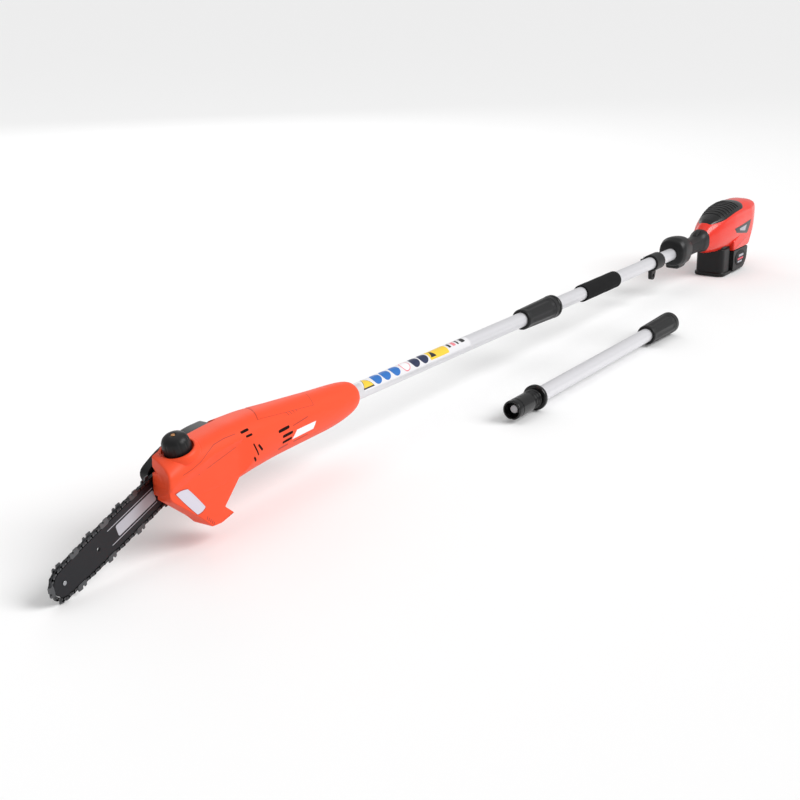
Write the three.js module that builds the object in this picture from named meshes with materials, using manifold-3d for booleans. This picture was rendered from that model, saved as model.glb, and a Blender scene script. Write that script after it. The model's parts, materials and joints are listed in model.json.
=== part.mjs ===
// Battery pole saw: a motor head with an 8-inch guide bar, a two-section pole joined by a
// twist collar, a rear handle with a battery housing, and a loose pole extension.
// Units are millimetres, +Z is up. The origin is the middle of the flat bottom of the battery
// foot; +X runs along the pole from the bar to the battery, and -Y is the saw's left side.
import * as THREE from 'three';
import { mergeVertices } from 'three/addons/utils/BufferGeometryUtils.js';
import Module from 'manifold-3d';

const wasm = await Module();
wasm.setup();

// ---------------------------------------------------------------- driving dimensions

const GAP = 0.3; // between pieces that touch or fit together
const WALL = 2.6; // moulded shells
const SEAM_GAP = 0.3; // between the two halves of a shell
const REACH = 3000; // half side of the block that keeps one side of a body

// pole
const TUBE_R = 13;
const TUBE_WALL = 1.6;
const CABLE_R = 3.5;
const AXIS_HEIGHT = 89; // pole axis above the foot's flat bottom
const FRONT_POLE = 524; // head casing to the collar
const REAR_POLE = 564; // plug flange to the handle guard
const TUBE_IN_HEAD = 120;
const TUBE_IN_HANDLE = 60;

// coupling, the same on the pole and on the extension
const COLLAR_LENGTH = 115;
const COLLAR_FRONT_WALL = 5.6; // outside the tube
const COLLAR_REAR_WALL = 7.8;
const COLLAR_FRONT_R = TUBE_R + COLLAR_FRONT_WALL;
const COLLAR_REAR_R = TUBE_R + COLLAR_REAR_WALL;
const COLLAR_FLATS = 10;
const SOCKET_WALL = 3;
const PLUG_NOSE_WALL = 3.4; // outside the tube
const PLUG_NOSE_R = TUBE_R + PLUG_NOSE_WALL;
const PLUG_NOSE_LENGTH = 54;
const PLUG_THREAD_LENGTH = 24;
const PLUG_THREADS = 3;
const FLANGE_RIM = 8.5; // outside the tube
const FLANGE_R = TUBE_R + FLANGE_RIM;
const FLANGE_LENGTH = 8;
const CONTACT_R = 8.5;

// pieces on the rear pole, counted from the plug flange
const FOAM_AT = 121;
const FOAM_LENGTH = 151;
const FOAM_WALL = 3.2;
const CLAMP_AT = 454;
const CLAMP_LENGTH = 40;
const CLAMP_WALL = 4.6;
const STRAP_LUG_DROP = 26;
const STRAP_HOLE_R = 4.5;
const PINCH_SCREW_R = 2;

// head casing
const HEAD_LENGTH = 456;
const HEAD_HALF_WIDTH = 37;
const FRONT_SLANT = THREE.MathUtils.degToRad(22); // front face, seen from above
const COVER_FACE = 10.5; // flat right face of the gear end, where the cover bolts on
const COVER_FRONT = -436; // from the tube's exit
const COVER_BACK = -308;
const COVER_OUTER = 33;
const COVER_WALL = 2.4;
const NUT_R = 9;
const NUT_HEIGHT = 8;

// guide bar and chain; the bar's own frame starts at the drive sprocket's axis
const BAR_Y = 15;
const BAR_TILT = THREE.MathUtils.degToRad(20);
const SPROCKET_BACK = 350; // sprocket axis, from the tube's exit towards the bar
const SPROCKET_RISE = 2.5;
const BAR_NOSE = 256; // sprocket axis to the middle of the bar's nose
const BAR_TAIL = 32; // sprocket axis to the bar's rear end
const BAR_HALF_WIDTH = 20;
const BAR_NOSE_R = 17;
const BAR_THICKNESS = 4;
const BAR_TRAVEL = 6;
const BAR_HOLE_AT = 193; // small hole in the bar, from the sprocket axis
const STUD_R = 4;
const STUD_AT = 48; // from the sprocket axis
const TENSION_PIN_R = 2.4;
const TENSION_SCREW_R = 2.8;
const CHAIN_HEIGHT = 6.4; // link band above the bar's rail
const CUTTER_HEIGHT = 2.6; // cutters above the band
const CUTTER_LENGTH = 13;
const CUTTER_PITCH = 37.3;
const CHAIN_WIDTH = 6.4;
const SPROCKET_TEETH = 7;
const SPROCKET_R = 19;
const NOSE_SPROCKET_TEETH = 9;
const NOSE_SPROCKET_R = 14.7;
const NOSE_RIVET_R = 3;

// head drive
const MOTOR_R = 20;
const MOTOR_LENGTH = 58;
const MOTOR_BACK = 196; // rear end of the motor, from the tube's exit
const ROTOR_R = 12;
const MOTOR_SHAFT_R = 4;
const DRIVE_Y = -6; // motor axis, and the apex of the bevel pair
const PINION_R = 7;
const BEVEL_R = 19;
const BEVEL_DEPTH = 8; // tooth face, along the pinion's axis
const SPROCKET_SHAFT_R = 5;
const BEARING_R = 10;
const BEARING_WIDTH = 7;
const GEAR_CASE_WALL = 2.5;

// oil tank and cap
const CAP_BACK = 409; // from the tube's exit
const CAP_Y = -11;
const CAP_RISE = 33;
const CAP_TILT = THREE.MathUtils.degToRad(20);
const CAP_R = 18.5;
const CAP_HEIGHT = 22;
const TANK_TOP = 11;
const TANK_BACK = 378; // rear wall of the tank, from the tube's exit
const TANK_RIGHT = 4;
const TANK_WALL = 2;
const HOOK_LEFT = 31; // left face of the claw plate, from the pole's plane
const NECK_R = 11;
const NECK_BORE = 8.5;
const PUMP_R = 6;
const PUMP_LENGTH = 15;
const PUMP_Y = -12;
const PUMP_DROP = 29;
const LINE_R = 1.8;

// handle, counted from the guard's front face
const GUARD_LENGTH = 84;
const GUARD_HALF_WIDTH = 30.5;
const GRIP_LENGTH = 88; // guard's rear to the housing
const GRIP_R = 18;
const TRIGGER_WIDTH = 11;
const LOCK_SETBACK = 50; // grip's front to the lock lever
const LOCK_WIDTH = 10;

// rear housing and battery
const HOUSING_LENGTH = 268;
const HOUSING_HALF_WIDTH = 41;
const FOOT_SETBACK = 64; // housing's front to the foot's front wall
const FOOT_LENGTH = 100;
const FOOT_HALF_WIDTH = 33;
const FOOT_WALL = 3;
const FOOT_LIP = 3;
const FOOT_WRAP = 42; // length of the foot's side walls
const BATTERY_LENGTH = 142;
const BATTERY_HALF_WIDTH = 39;
const BATTERY_TOP = 36; // below the pole axis
const RAIL_HALF_WIDTH = 29;
const RAIL_HEIGHT = 16;
const LATCH_WIDTH = 22;
const LATCH_HEIGHT = 10;
const LATCH_DEPTH = 8;
const LATCH_TRAVEL = 3;

// loose extension
const EXTENSION_TUBE = 452; // visible tube between its flange and its collar
const EXTENSION_AT = 270; // head casing to the tip of its plug
const EXTENSION_Y = -120;

// ---------------------------------------------------------------- places worked out from them

const collarX = FRONT_POLE;
const flangeX = collarX + COLLAR_LENGTH + GAP;
const rearPoleX = flangeX + FLANGE_LENGTH;
const guardX = rearPoleX + REAR_POLE;
const gripX = guardX + GUARD_LENGTH;
const housingX = gripX + GRIP_LENGTH;
const footX = housingX + FOOT_SETBACK;
const footMiddle = footX + FOOT_LENGTH / 2;
const tubeInner = TUBE_R - TUBE_WALL;
const sleeveR = TUBE_R + GAP; // bore of everything that slides over the tube
const chainOuterNose = BAR_NOSE_R + GAP + CHAIN_HEIGHT + CUTTER_HEIGHT;
const padY = -BAR_THICKNESS / 2 - GAP; // bar pad's face, in the bar's frame
const caseFace = COVER_FACE - BAR_Y; // gear end's right face, in the bar's frame
const nutAt = COVER_OUTER - BAR_Y + GAP; // nut's seat, in the bar's frame
const tankRear = -TANK_BACK;
const lockX = gripX + LOCK_SETBACK;
const footWrap = footX + FOOT_WRAP;
const footTop = -28;
const footBottom = -AXIS_HEIGHT;
const battX = footX + FOOT_WALL + 2 * GAP;
const battBack = battX + BATTERY_LENGTH;
const railTop = RAIL_HEIGHT - BATTERY_TOP;

// ---------------------------------------------------------------- finishes

const finish = (color, roughness, metalness = 0) =>
  new THREE.MeshStandardMaterial({ color, roughness, metalness });
const ORANGE = finish(0xf2502a, 0.45);
const CRIMSON = finish(0xdb2b20, 0.25);
const BLACK = finish(0x17181b, 0.5);
const DARK_BAR = finish(0x1a1b1e, 0.4, 0.4);
const STEEL = finish(0x8d9094, 0.35, 1);
const SILVER = finish(0xd9dade, 0.35, 0.9);
const FOAM = finish(0x202122, 0.95);
const BRASS = finish(0xb98a4a, 0.35, 1);
const COPPER = finish(0xa8623a, 0.4, 1);
const LENS = finish(0xc9c6d2, 0.3);
const GREY = finish(0x8a8a8c, 0.6);
const BOARD = finish(0x1f5a3a, 0.6);

// ---------------------------------------------------------------- shape helpers

/** A closed geometry as a manifold-3d solid, its faces turned outwards. */
function solid(geometry) {
  const bare = new THREE.BufferGeometry();
  const loose = geometry.index ? geometry.toNonIndexed() : geometry;
  bare.setAttribute('position', loose.getAttribute('position'));
  const merged = mergeVertices(bare, 1e-3);
  const make = (triVerts) =>
    new wasm.Manifold(
      new wasm.Mesh({ numProp: 3, vertProperties: merged.attributes.position.array, triVerts }),
    );
  const made = make(new Uint32Array(merged.index.array));
  return made.volume() > 0 ? made : make(new Uint32Array(merged.index.array).reverse());
}

/** A manifold-3d solid as a three.js geometry. */
function geometryOf(body) {
  const { vertProperties, triVerts } = body.getMesh();
  const geometry = new THREE.BufferGeometry();
  geometry.setAttribute('position', new THREE.BufferAttribute(vertProperties, 3));
  geometry.setIndex(new THREE.BufferAttribute(triVerts, 1));
  return geometry;
}

/** A box between two corners. */
function block(x0, x1, y0, y1, z0, z1) {
  return solid(
    new THREE.BoxGeometry(x1 - x0, y1 - y0, z1 - z0).translate(
      (x0 + x1) / 2,
      (y0 + y1) / 2,
      (z0 + z1) / 2,
    ),
  );
}

/** A body turned about the X axis, from a profile of [x, radius] points. */
function turned(profile, segments = 18) {
  const points = profile.map(([x, r]) => new THREE.Vector2(r, x));
  if (profile.some(([, r]) => r > 0) && profile[0][1] > 0) points.push(points[0].clone());
  return new THREE.LatheGeometry(points, segments).rotateZ(-Math.PI / 2);
}

/** A tube or washer about the X axis. */
function sleeve(x0, x1, inner, outer, segments = 20) {
  return turned([[x0, inner], [x0, outer], [x1, outer], [x1, inner]], segments);
}

/** A rod about the X axis. */
function rod(x0, x1, r, segments = 16) {
  return turned([[x0, 0], [x0, r], [x1, r], [x1, 0]], segments);
}

/** Turns a body about X so that it runs along Y instead. */
const alongY = (geometry) => geometry.rotateZ(Math.PI / 2);

/** A closed outline of [a, b, corner radius] points, with rounded corners. */
function outline(points) {
  const shape = new THREE.Shape();
  points.forEach(([a, b, radius = 0], i) => {
    const here = new THREE.Vector2(a, b);
    const before = new THREE.Vector2(...points.at(i - 1));
    const after = new THREE.Vector2(...points[(i + 1) % points.length]);
    const enter = here.clone().add(before.sub(here).setLength(radius || 1e-6));
    const leave = here.clone().add(after.sub(here).setLength(radius || 1e-6));
    if (i === 0) shape.moveTo(enter.x, enter.y);
    else shape.lineTo(enter.x, enter.y);
    if (radius) shape.quadraticCurveTo(here.x, here.y, leave.x, leave.y);
  });
  return shape;
}

/** An outline in X and Z, given a thickness from y0 to y1. */
function slab(shape, y0, y1, curveSegments = 4) {
  return new THREE.ExtrudeGeometry(shape, { depth: y1 - y0, bevelEnabled: false, curveSegments })
    .rotateX(Math.PI / 2)
    .translate(0, y1, 0);
}

/** An outline in X and Y, given a height from z0 to z1. */
function plate(shape, z0, z1, curveSegments = 4) {
  return new THREE.ExtrudeGeometry(shape, {
    depth: z1 - z0,
    bevelEnabled: false,
    curveSegments,
  }).translate(0, 0, z0);
}

/**
 * A closed body lofted along X through rounded sections. A station is
 * [x, half width, top, bottom, squareness], where squareness 2 is an ellipse.
 */
function lofted(stations, sides = 20) {
  const vertices = [];
  const faces = [];
  for (const [x, half, top, bottom, power] of stations) {
    for (let k = 0; k < sides; k++) {
      const turn = (2 * Math.PI * k) / sides;
      const round = (v) => Math.sign(v) * Math.abs(v) ** (2 / power);
      const y = half * round(Math.cos(turn));
      const z = (top + bottom) / 2 + ((top - bottom) / 2) * round(Math.sin(turn));
      vertices.push(x, y, z);
    }
  }
  for (let ring = 0; ring + 1 < stations.length; ring++) {
    for (let k = 0; k < sides; k++) {
      const a = ring * sides + k;
      const b = ring * sides + ((k + 1) % sides);
      faces.push(a, b, a + sides, b, b + sides, a + sides);
    }
  }
  const last = (stations.length - 1) * sides;
  for (let k = 1; k + 1 < sides; k++) {
    faces.push(0, k + 1, k, last, last + k, last + k + 1);
  }
  const geometry = new THREE.BufferGeometry();
  geometry.setAttribute('position', new THREE.Float32BufferAttribute(vertices, 3));
  geometry.setIndex(faces);
  return geometry;
}

/** The stations of a shell's inside: every section and both ends set in by a wall. */
function inset(stations, wall) {
  return stations.map(([x, half, top, bottom, power], i) => {
    const end = i === 0 ? 1 : i === stations.length - 1 ? -1 : 0;
    return [x + end * wall, half - wall, top - wall, bottom + wall, power];
  });
}

/** Large blocks used to keep one side of a body. */
const leftOf = (y) => block(-REACH, REACH, -REACH, y, -REACH, REACH);
const rightOf = (y) => block(-REACH, REACH, y, REACH, -REACH, REACH);

/** Adds a named mesh to a group; the shape is a geometry or a solid. */
function add(group, name, shape, material) {
  const body = shape.isBufferGeometry ? solid(shape) : shape;
  const mesh = new THREE.Mesh(geometryOf(body), material);
  mesh.name = name;
  group.add(mesh);
  return mesh;
}

// ---------------------------------------------------------------- pole and coupling

/** The female end: a sleeve on the tube, its contacts and the collar that turns on it. */
function couplingSocket(group, x, prefix) {
  const mouth = x + COLLAR_LENGTH - PLUG_NOSE_LENGTH - PLUG_THREAD_LENGTH;
  const sleeveStart = x + 8;
  const outer = sleeveR + SOCKET_WALL;
  const socket = turned([
    [sleeveStart, sleeveR],
    [sleeveStart, outer],
    [mouth - GAP, outer],
    [mouth - GAP, CONTACT_R + GAP],
    [mouth - 8, CONTACT_R + GAP],
    [mouth - 8, sleeveR],
  ]);
  add(group, `${prefix}socket`, socket, BLACK);
  const contacts = turned([
    [mouth - 12, 0],
    [mouth - 12, CONTACT_R],
    [mouth + 11, CONTACT_R],
    [mouth + 11, 0],
  ]);
  add(group, `${prefix}socket_contacts`, contacts, GREY);
  add(group, `${prefix}collar`, couplingCollar(x, mouth, outer), BLACK);
  return mouth - 8 - GAP;
}

/** The twist collar: a tapered grip with flats, bored for the tube, the sleeve and the plug. */
function couplingCollar(x, mouth, socketOuter) {
  const end = x + COLLAR_LENGTH;
  const flats = new THREE.CylinderGeometry(
    COLLAR_REAR_R + 0.6,
    COLLAR_FRONT_R + 0.2,
    COLLAR_LENGTH,
    COLLAR_FLATS,
  )
    .rotateZ(-Math.PI / 2)
    .translate(x + COLLAR_LENGTH / 2, 0, 0);
  const round = turned([
    [x, 0],
    [x, COLLAR_FRONT_R - 1.5],
    [x + 2, COLLAR_FRONT_R],
    [end - 14, COLLAR_REAR_R],
    [end, COLLAR_REAR_R],
    [end, 0],
  ]);
  const bore = turned([
    [x - 1, 0],
    [x - 1, sleeveR],
    [x + 7, sleeveR],
    [x + 7, socketOuter + GAP],
    [mouth, socketOuter + GAP],
    [mouth, PLUG_NOSE_R + 2 * GAP],
    [end + 1, PLUG_NOSE_R + 2 * GAP],
    [end + 1, 0],
  ]);
  return solid(round).intersect(solid(flats)).subtract(solid(bore));
}

/** The male end: a hollow nose, thread ridges and a flange on a sleeve over the tube. */
function couplingPlug(group, x, prefix) {
  const nose = x - PLUG_THREAD_LENGTH - PLUG_NOSE_LENGTH - GAP;
  const threads = x - PLUG_THREAD_LENGTH;
  const noseBore = PLUG_NOSE_R - 3;
  const floor = nose + 20;
  const pitch = PLUG_THREAD_LENGTH / PLUG_THREADS;
  const ridges = Array.from({ length: PLUG_THREADS }, (_, i) => {
    const at = threads + (i + 0.2) * pitch;
    return [
      [at, PLUG_NOSE_R - 1],
      [at + 0.2 * pitch, PLUG_NOSE_R],
      [at + 0.45 * pitch, PLUG_NOSE_R],
      [at + 0.65 * pitch, PLUG_NOSE_R - 1],
    ];
  }).flat();
  const plug = turned([
    [nose, noseBore],
    [nose, PLUG_NOSE_R - 0.8],
    [nose + 1.5, PLUG_NOSE_R - 0.2],
    [threads - 2, PLUG_NOSE_R - 0.2],
    [threads, PLUG_NOSE_R - 1],
    ...ridges,
    [x, PLUG_NOSE_R - 1],
    [x, FLANGE_R - 1],
    [x + 1, FLANGE_R],
    [x + FLANGE_LENGTH - 1, FLANGE_R],
    [x + FLANGE_LENGTH, FLANGE_R - 1],
    [x + FLANGE_LENGTH, sleeveR],
    [floor + 8, sleeveR],
    [floor + 8, CONTACT_R + GAP],
    [floor, CONTACT_R + GAP],
    [floor, noseBore],
  ]);
  add(group, `${prefix}plug`, plug, BLACK);
  const contacts = turned([
    [floor - 8, 0],
    [floor - 8, CONTACT_R - 2],
    [floor - GAP, CONTACT_R - 2],
    [floor - GAP, CONTACT_R],
    [floor + 8 - GAP, CONTACT_R],
    [floor + 8 - GAP, 0],
  ]);
  add(group, `${prefix}plug_contacts`, contacts, GREY);
  return floor + 8 + GAP;
}

/** A pole tube. */
function tube(group, name, x0, x1) {
  add(group, name, sleeve(x0, x1, tubeInner, TUBE_R), SILVER);
}

/** The power cable inside a tube. */
function cable(group, name, x0, x1) {
  add(group, name, rod(x0, x1, CABLE_R, 10), BLACK);
}

function foamGrip(group) {
  const x0 = rearPoleX + FOAM_AT;
  const x1 = x0 + FOAM_LENGTH;
  const outer = sleeveR + FOAM_WALL;
  const profile = [
    [x0, sleeveR],
    [x0, outer - 1.5],
    [x0 + 1.5, outer],
    [x1 - 1.5, outer],
    [x1, outer - 1.5],
    [x1, sleeveR],
  ];
  add(group, 'foam_grip', turned(profile), FOAM);
}

/** The split clamp that carries the shoulder strap's lug, and its pinch screw. */
function strapClamp(group) {
  const x0 = rearPoleX + CLAMP_AT;
  const x1 = x0 + CLAMP_LENGTH;
  const outer = sleeveR + CLAMP_WALL;
  const lugX = x0 + 10;
  const lugBottom = -outer - STRAP_LUG_DROP + 8;
  const lug = outline([
    [lugX - 9, -outer + 3],
    [lugX - 8, lugBottom, 7],
    [lugX + 8, lugBottom, 7],
    [lugX + 14, -outer + 3],
  ]);
  lug.holes.push(
    new THREE.Path().absarc(lugX, lugBottom + 8.5, STRAP_HOLE_R, 0, 2 * Math.PI, true),
  );
  const ears = block(x0 + 6, x1 - 6, outer - 2, outer + 7, -5, 5);
  const split = block(x0 - 1, x1 + 1, sleeveR - 2, outer + 8, -0.9, 0.9);
  const upright = (geometry) =>
    geometry.rotateY(-Math.PI / 2).translate((x0 + x1) / 2, outer + 3, 0);
  const screwHole = upright(rod(-9, 9, PINCH_SCREW_R + GAP, 12));
  const body = solid(turned([
    [x0, sleeveR],
    [x0, outer - 1],
    [x0 + 1, outer],
    [x1 - 1, outer],
    [x1, outer - 1],
    [x1, sleeveR],
  ]))
    .add(solid(slab(lug, -4, 4)))
    .add(ears)
    .subtract(split)
    .subtract(solid(screwHole));
  add(group, 'strap_clamp', body, BLACK);
  const screw = [
    [-7, 0],
    [-7, PINCH_SCREW_R],
    [5 + GAP, PINCH_SCREW_R],
    [5 + GAP, PINCH_SCREW_R + 1.5],
    [8, PINCH_SCREW_R + 1.5],
    [8, 0],
  ];
  add(group, 'clamp_screw', upright(turned(screw, 12)), STEEL);
}

// ---------------------------------------------------------------- head casing

const headStations = [
  [-HEAD_LENGTH, 28, 13, -10, 3],
  [10 - HEAD_LENGTH, 33.5, 21, -18, 3],
  [-425, HEAD_HALF_WIDTH - 1, 29, -28, 3],
  [-395, HEAD_HALF_WIDTH - 0.5, 34, -38, 3],
  [-350, HEAD_HALF_WIDTH, 38.5, -41, 2.8],
  [-310, HEAD_HALF_WIDTH, 41, -40, 2.6],
  [-271, 36.7, 41, -37, 2.4],
  [-218, 34.6, 38, -35, 2.2],
  [-160, 32, 34, -34.5, 2.1],
  [-100, 29.7, 29.5, -34, 2],
  [-68, 27.5, 26.5, -31.5, 2],
  [-36, 22.5, 22.5, -25, 2],
  [-18, 18, 18, -19, 2],
  [-9, 14.9, 14.9, -14.9, 2],
];

/** The claw that hooks a branch, below the bar's root on the left, set in by a wall. */
function hookPlate(y0, y1, wall = 0) {
  const claw = outline([
    [-449 + wall, 8 - wall / 2, 3],
    [-449 + wall, -19 + wall / 2, 9],
    [-386, -66 + 1.2 * wall, 5],
    [-371, -80 + 1.2 * wall, 3],
    [-352, -81 + 1.2 * wall, 3],
    [-326 - 4 * wall, -75 + 1.4 * wall, 2],
    [-344 - 1.5 * wall, -61 + wall / 2, 2],
    [-309 - 1.4 * wall, -26, 4],
    [-290 - wall, 0, 4],
    [-300, 12 - wall / 2, 3],
  ]);
  return solid(slab(claw, y0, y1));
}

/** The shallower belly on the right of the claw, set in by a wall. */
function bellyPlate(y0, y1, wall = 0) {
  const belly = outline([
    [-438 + wall, 6 - wall / 2, 3],
    [-438 + wall, -12 + wall / 2, 9],
    [-386, -57 + 1.2 * wall, 6],
    [-352 - wall / 2, -57 + 1.2 * wall, 6],
    [-318 - 1.2 * wall, -26, 4],
    [-299 - wall, -2, 4],
    [-306, 8 - wall / 2, 3],
  ]);
  return solid(slab(belly, y0, y1));
}

/** A block that takes away what is ahead of the slanted front face. */
function frontCut(inward = 0) {
  return solid(
    new THREE.BoxGeometry(60, 200, 200)
      .translate(-30, 0, 0)
      .rotateZ(-FRONT_SLANT)
      .translate(6 - HEAD_LENGTH + inward, -HOOK_LEFT, 0),
  );
}

/** Moves a body from the oil cap's frame, whose +Z is the cap's axis, to the head. */
const atCap = (geometry) => geometry.rotateY(-CAP_TILT).translate(-CAP_BACK, CAP_Y, CAP_RISE);

/** A body turned about the oil cap's axis, from a profile of [height, radius] points. */
const capTurned = (profile, segments = 20) =>
  atCap(turned(profile, segments).rotateY(-Math.PI / 2));

/** Moves a body from the bar's frame (+X to the rear, sprocket axis at 0) to the head. */
const atBar = (geometry) =>
  geometry.rotateY(-BAR_TILT).translate(-SPROCKET_BACK, BAR_Y, SPROCKET_RISE);

/** A body turned about an axis along Y in the bar's frame, from [y, radius] points. */
const barTurned = (x, z, profile, segments = 16) =>
  atBar(alongY(turned(profile, segments)).translate(x, 0, z));

/** The window in the casing's left side that shows the oil level. */
function windowOutline(margin) {
  return outline([
    [-440 - margin, -13 + margin, 3],
    [-417 + margin, -13 + margin, 4],
    [-384 + margin, -49 - margin, 4],
    [-400 - margin, -54 - margin, 4],
  ]);
}

/** The largest separate body of a solid, which drops slivers left by a cut. */
const largest = (body) => body.decompose().sort((a, b) => b.volume() - a.volume())[0];

/** A round boring about an axis along Y in the bar's frame. */
const barBore = (x, y0, y1, r) => solid(barTurned(x, 0, [[y0, 0], [y0, r], [y1, r], [y1, 0]]));

/** A round boring about the oil cap's axis. */
const capBore = (z0, z1, r) => solid(capTurned([[z0, 0], [z0, r], [z1, r], [z1, 0]]));

/** The two orange half shells, parted on the pole's plane, and the oil window. */
function headShells(group) {
  const seatR = CAP_R + 2.5;
  const boss = [[-10, 0], [-10, seatR + 4], [1.5, seatR + 3], [1.5, 0]];
  const outer = solid(lofted(headStations))
    .add(hookPlate(-HOOK_LEFT, 0))
    .add(bellyPlate(-WALL, COVER_FACE))
    .add(solid(capTurned(boss)))
    .subtract(frontCut());
  const hollow = solid(lofted(inset(headStations, WALL)))
    .add(hookPlate(-HOOK_LEFT + WALL, -WALL, WALL))
    .add(bellyPlate(-2 * WALL, COVER_FACE - WALL, WALL))
    .subtract(capBore(-6, 30, seatR + WALL))
    .subtract(frontCut(2 * WALL));
  const cuts = solid(rod(-30, 30, sleeveR, 20))
    .add(capBore(-3, 30, seatR))
    .add(capBore(-16, 0, NECK_R + GAP))
    .add(solid(slab(windowOutline(GAP), -2 * HOOK_LEFT, -20)));
  const left = outer.subtract(hollow).subtract(cuts).intersect(leftOf(-SEAM_GAP / 2));
  add(group, 'casing_left', largest(left), ORANGE);

  const ahead = -HEAD_LENGTH - 60;
  const coverSide = block(ahead, COVER_BACK, COVER_FACE, 100, -100, 100);
  const gearHollow = hollow.subtract(
    block(ahead, COVER_BACK + WALL, COVER_FACE - WALL, 100, -100, 100),
  );
  const pad = atBar(new THREE.BoxGeometry(30, 4, 18).translate(-STUD_AT - 3, padY - 2, 0));
  const right = outer
    .subtract(coverSide)
    .subtract(gearHollow)
    .add(solid(pad))
    .subtract(cuts)
    .subtract(barBore(0, -9, 9, BEARING_R + GAP))
    .subtract(barBore(-STUD_AT, -9, 9, STUD_R + GAP))
    .intersect(rightOf(SEAM_GAP / 2));
  add(group, 'casing_right', largest(right), ORANGE);
  add(group, 'oil_window', slab(windowOutline(-GAP), -HOOK_LEFT, -HOOK_LEFT + WALL), LENS);
}

/** The black cover over the sprocket, open at the front where the bar comes out. */
function sprocketCover(group) {
  const shape = (wall) =>
    outline([
      [COVER_FRONT + wall, 2 - wall, 12],
      [-402, 21 - wall, 18],
      [-350, 35.5 - wall, 18],
      [COVER_BACK - GAP - wall, 36.5 - wall, 8],
      [COVER_BACK - GAP - wall, -34 + wall, 10],
      [-380, -48 + wall, 14],
      [COVER_FRONT + 20 + wall, -34 + wall, 10],
    ]);
  const inner = COVER_FACE + GAP;
  const mouth = atBar(new THREE.BoxGeometry(124, 10, 64).translate(-110, 0, 0));
  const chips = atBar(new THREE.BoxGeometry(60, 10, 60).translate(-20, 0, -40));
  const post = [
    [BAR_THICKNESS / 2 + GAP, 0],
    [BAR_THICKNESS / 2 + GAP, NUT_R],
    [nutAt - 1, NUT_R],
    [nutAt - 1, 0],
  ];
  const shell = solid(slab(shape(0), inner, COVER_OUTER))
    .subtract(solid(slab(shape(COVER_WALL), inner - 1, COVER_OUTER - COVER_WALL)))
    .subtract(solid(mouth))
    .subtract(solid(chips))
    .add(solid(barTurned(-STUD_AT, 0, post)))
    .subtract(barBore(-STUD_AT, 0, 30, STUD_R + GAP))
    .subtract(solid(tensionScrew(GAP)));
  add(group, 'sprocket_cover', largest(shell), BLACK);
  const nutEnd = nutAt + NUT_HEIGHT;
  const hexagon = [[nutAt, 0], [nutAt, NUT_R], [nutEnd, NUT_R], [nutEnd, 0]];
  const nut = solid(barTurned(-STUD_AT, 0, hexagon, 6))
    .subtract(barBore(-STUD_AT, nutAt - 1, nutEnd + 1, STUD_R + GAP));
  add(group, 'bar_nut', nut, STEEL);
  const seat = caseFace - WALL - GAP;
  const stud = [
    [seat - 3, 0],
    [seat - 3, 7],
    [seat, 7],
    [seat, STUD_R],
    [nutEnd + 2, STUD_R],
    [nutEnd + 2, 0],
  ];
  add(group, 'bar_stud', barTurned(-STUD_AT, 0, stud), STEEL);
  add(group, 'tension_screw', tensionScrew(0), STEEL);
}

/** The chain tensioning screw in the cover, or with a margin the hole for it. */
function tensionScrew(margin) {
  const r = TENSION_SCREW_R + margin;
  return barTurned(-STUD_AT - 14, 16, [
    [nutAt - 12, 0],
    [nutAt - 12, r],
    [nutAt, r],
    [nutAt, r + 1.8],
    [nutAt + 2.5, r + 1.8],
    [nutAt + 2.5, 0],
  ], 16);
}

// ---------------------------------------------------------------- bar, chain and drive

/**
 * The line of the bar's rail grown by a margin, from its rear end round the nose and back;
 * rearR is its half width at rearX.
 */
function railLine(margin, rearX, rearR) {
  const shape = new THREE.Shape();
  const half = BAR_HALF_WIDTH + margin;
  const nose = BAR_NOSE_R + margin;
  shape.moveTo(rearX, rearR);
  shape.quadraticCurveTo(-STUD_AT, half, -BAR_NOSE * 0.45, half);
  shape.quadraticCurveTo(-BAR_NOSE * 0.85, half, -BAR_NOSE, nose);
  shape.absarc(-BAR_NOSE, 0, nose, Math.PI / 2, (3 * Math.PI) / 2, false);
  shape.quadraticCurveTo(-BAR_NOSE * 0.85, -half, -BAR_NOSE * 0.45, -half);
  shape.quadraticCurveTo(-STUD_AT, -half, rearX, -rearR);
  return shape;
}

/** The closed line of the chain, a height above the rail and the sprocket's teeth. */
function chainLine(height) {
  const r = SPROCKET_R + GAP + height;
  const shape = railLine(GAP + height, 0, r);
  shape.absarc(0, 0, r, -Math.PI / 2, Math.PI / 2, false);
  return shape;
}

/** A round hole for an extruded outline. */
const roundHole = (x, y, r) => new THREE.Path().absarc(x, y, r, 0, 2 * Math.PI, true);

/** A gear-like outline with pointed teeth, centred on the origin. */
function toothedOutline(teeth, rootR, tipR) {
  const flank = [[0, rootR], [0.35, rootR], [0.58, tipR], [0.77, tipR]];
  const points = Array.from({ length: teeth }, (_, i) =>
    flank.map(([part, r]) => {
      const turn = (2 * Math.PI * (i + part)) / teeth;
      return new THREE.Vector2(r * Math.cos(turn), r * Math.sin(turn));
    }),
  );
  return new THREE.Shape(points.flat());
}

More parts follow.
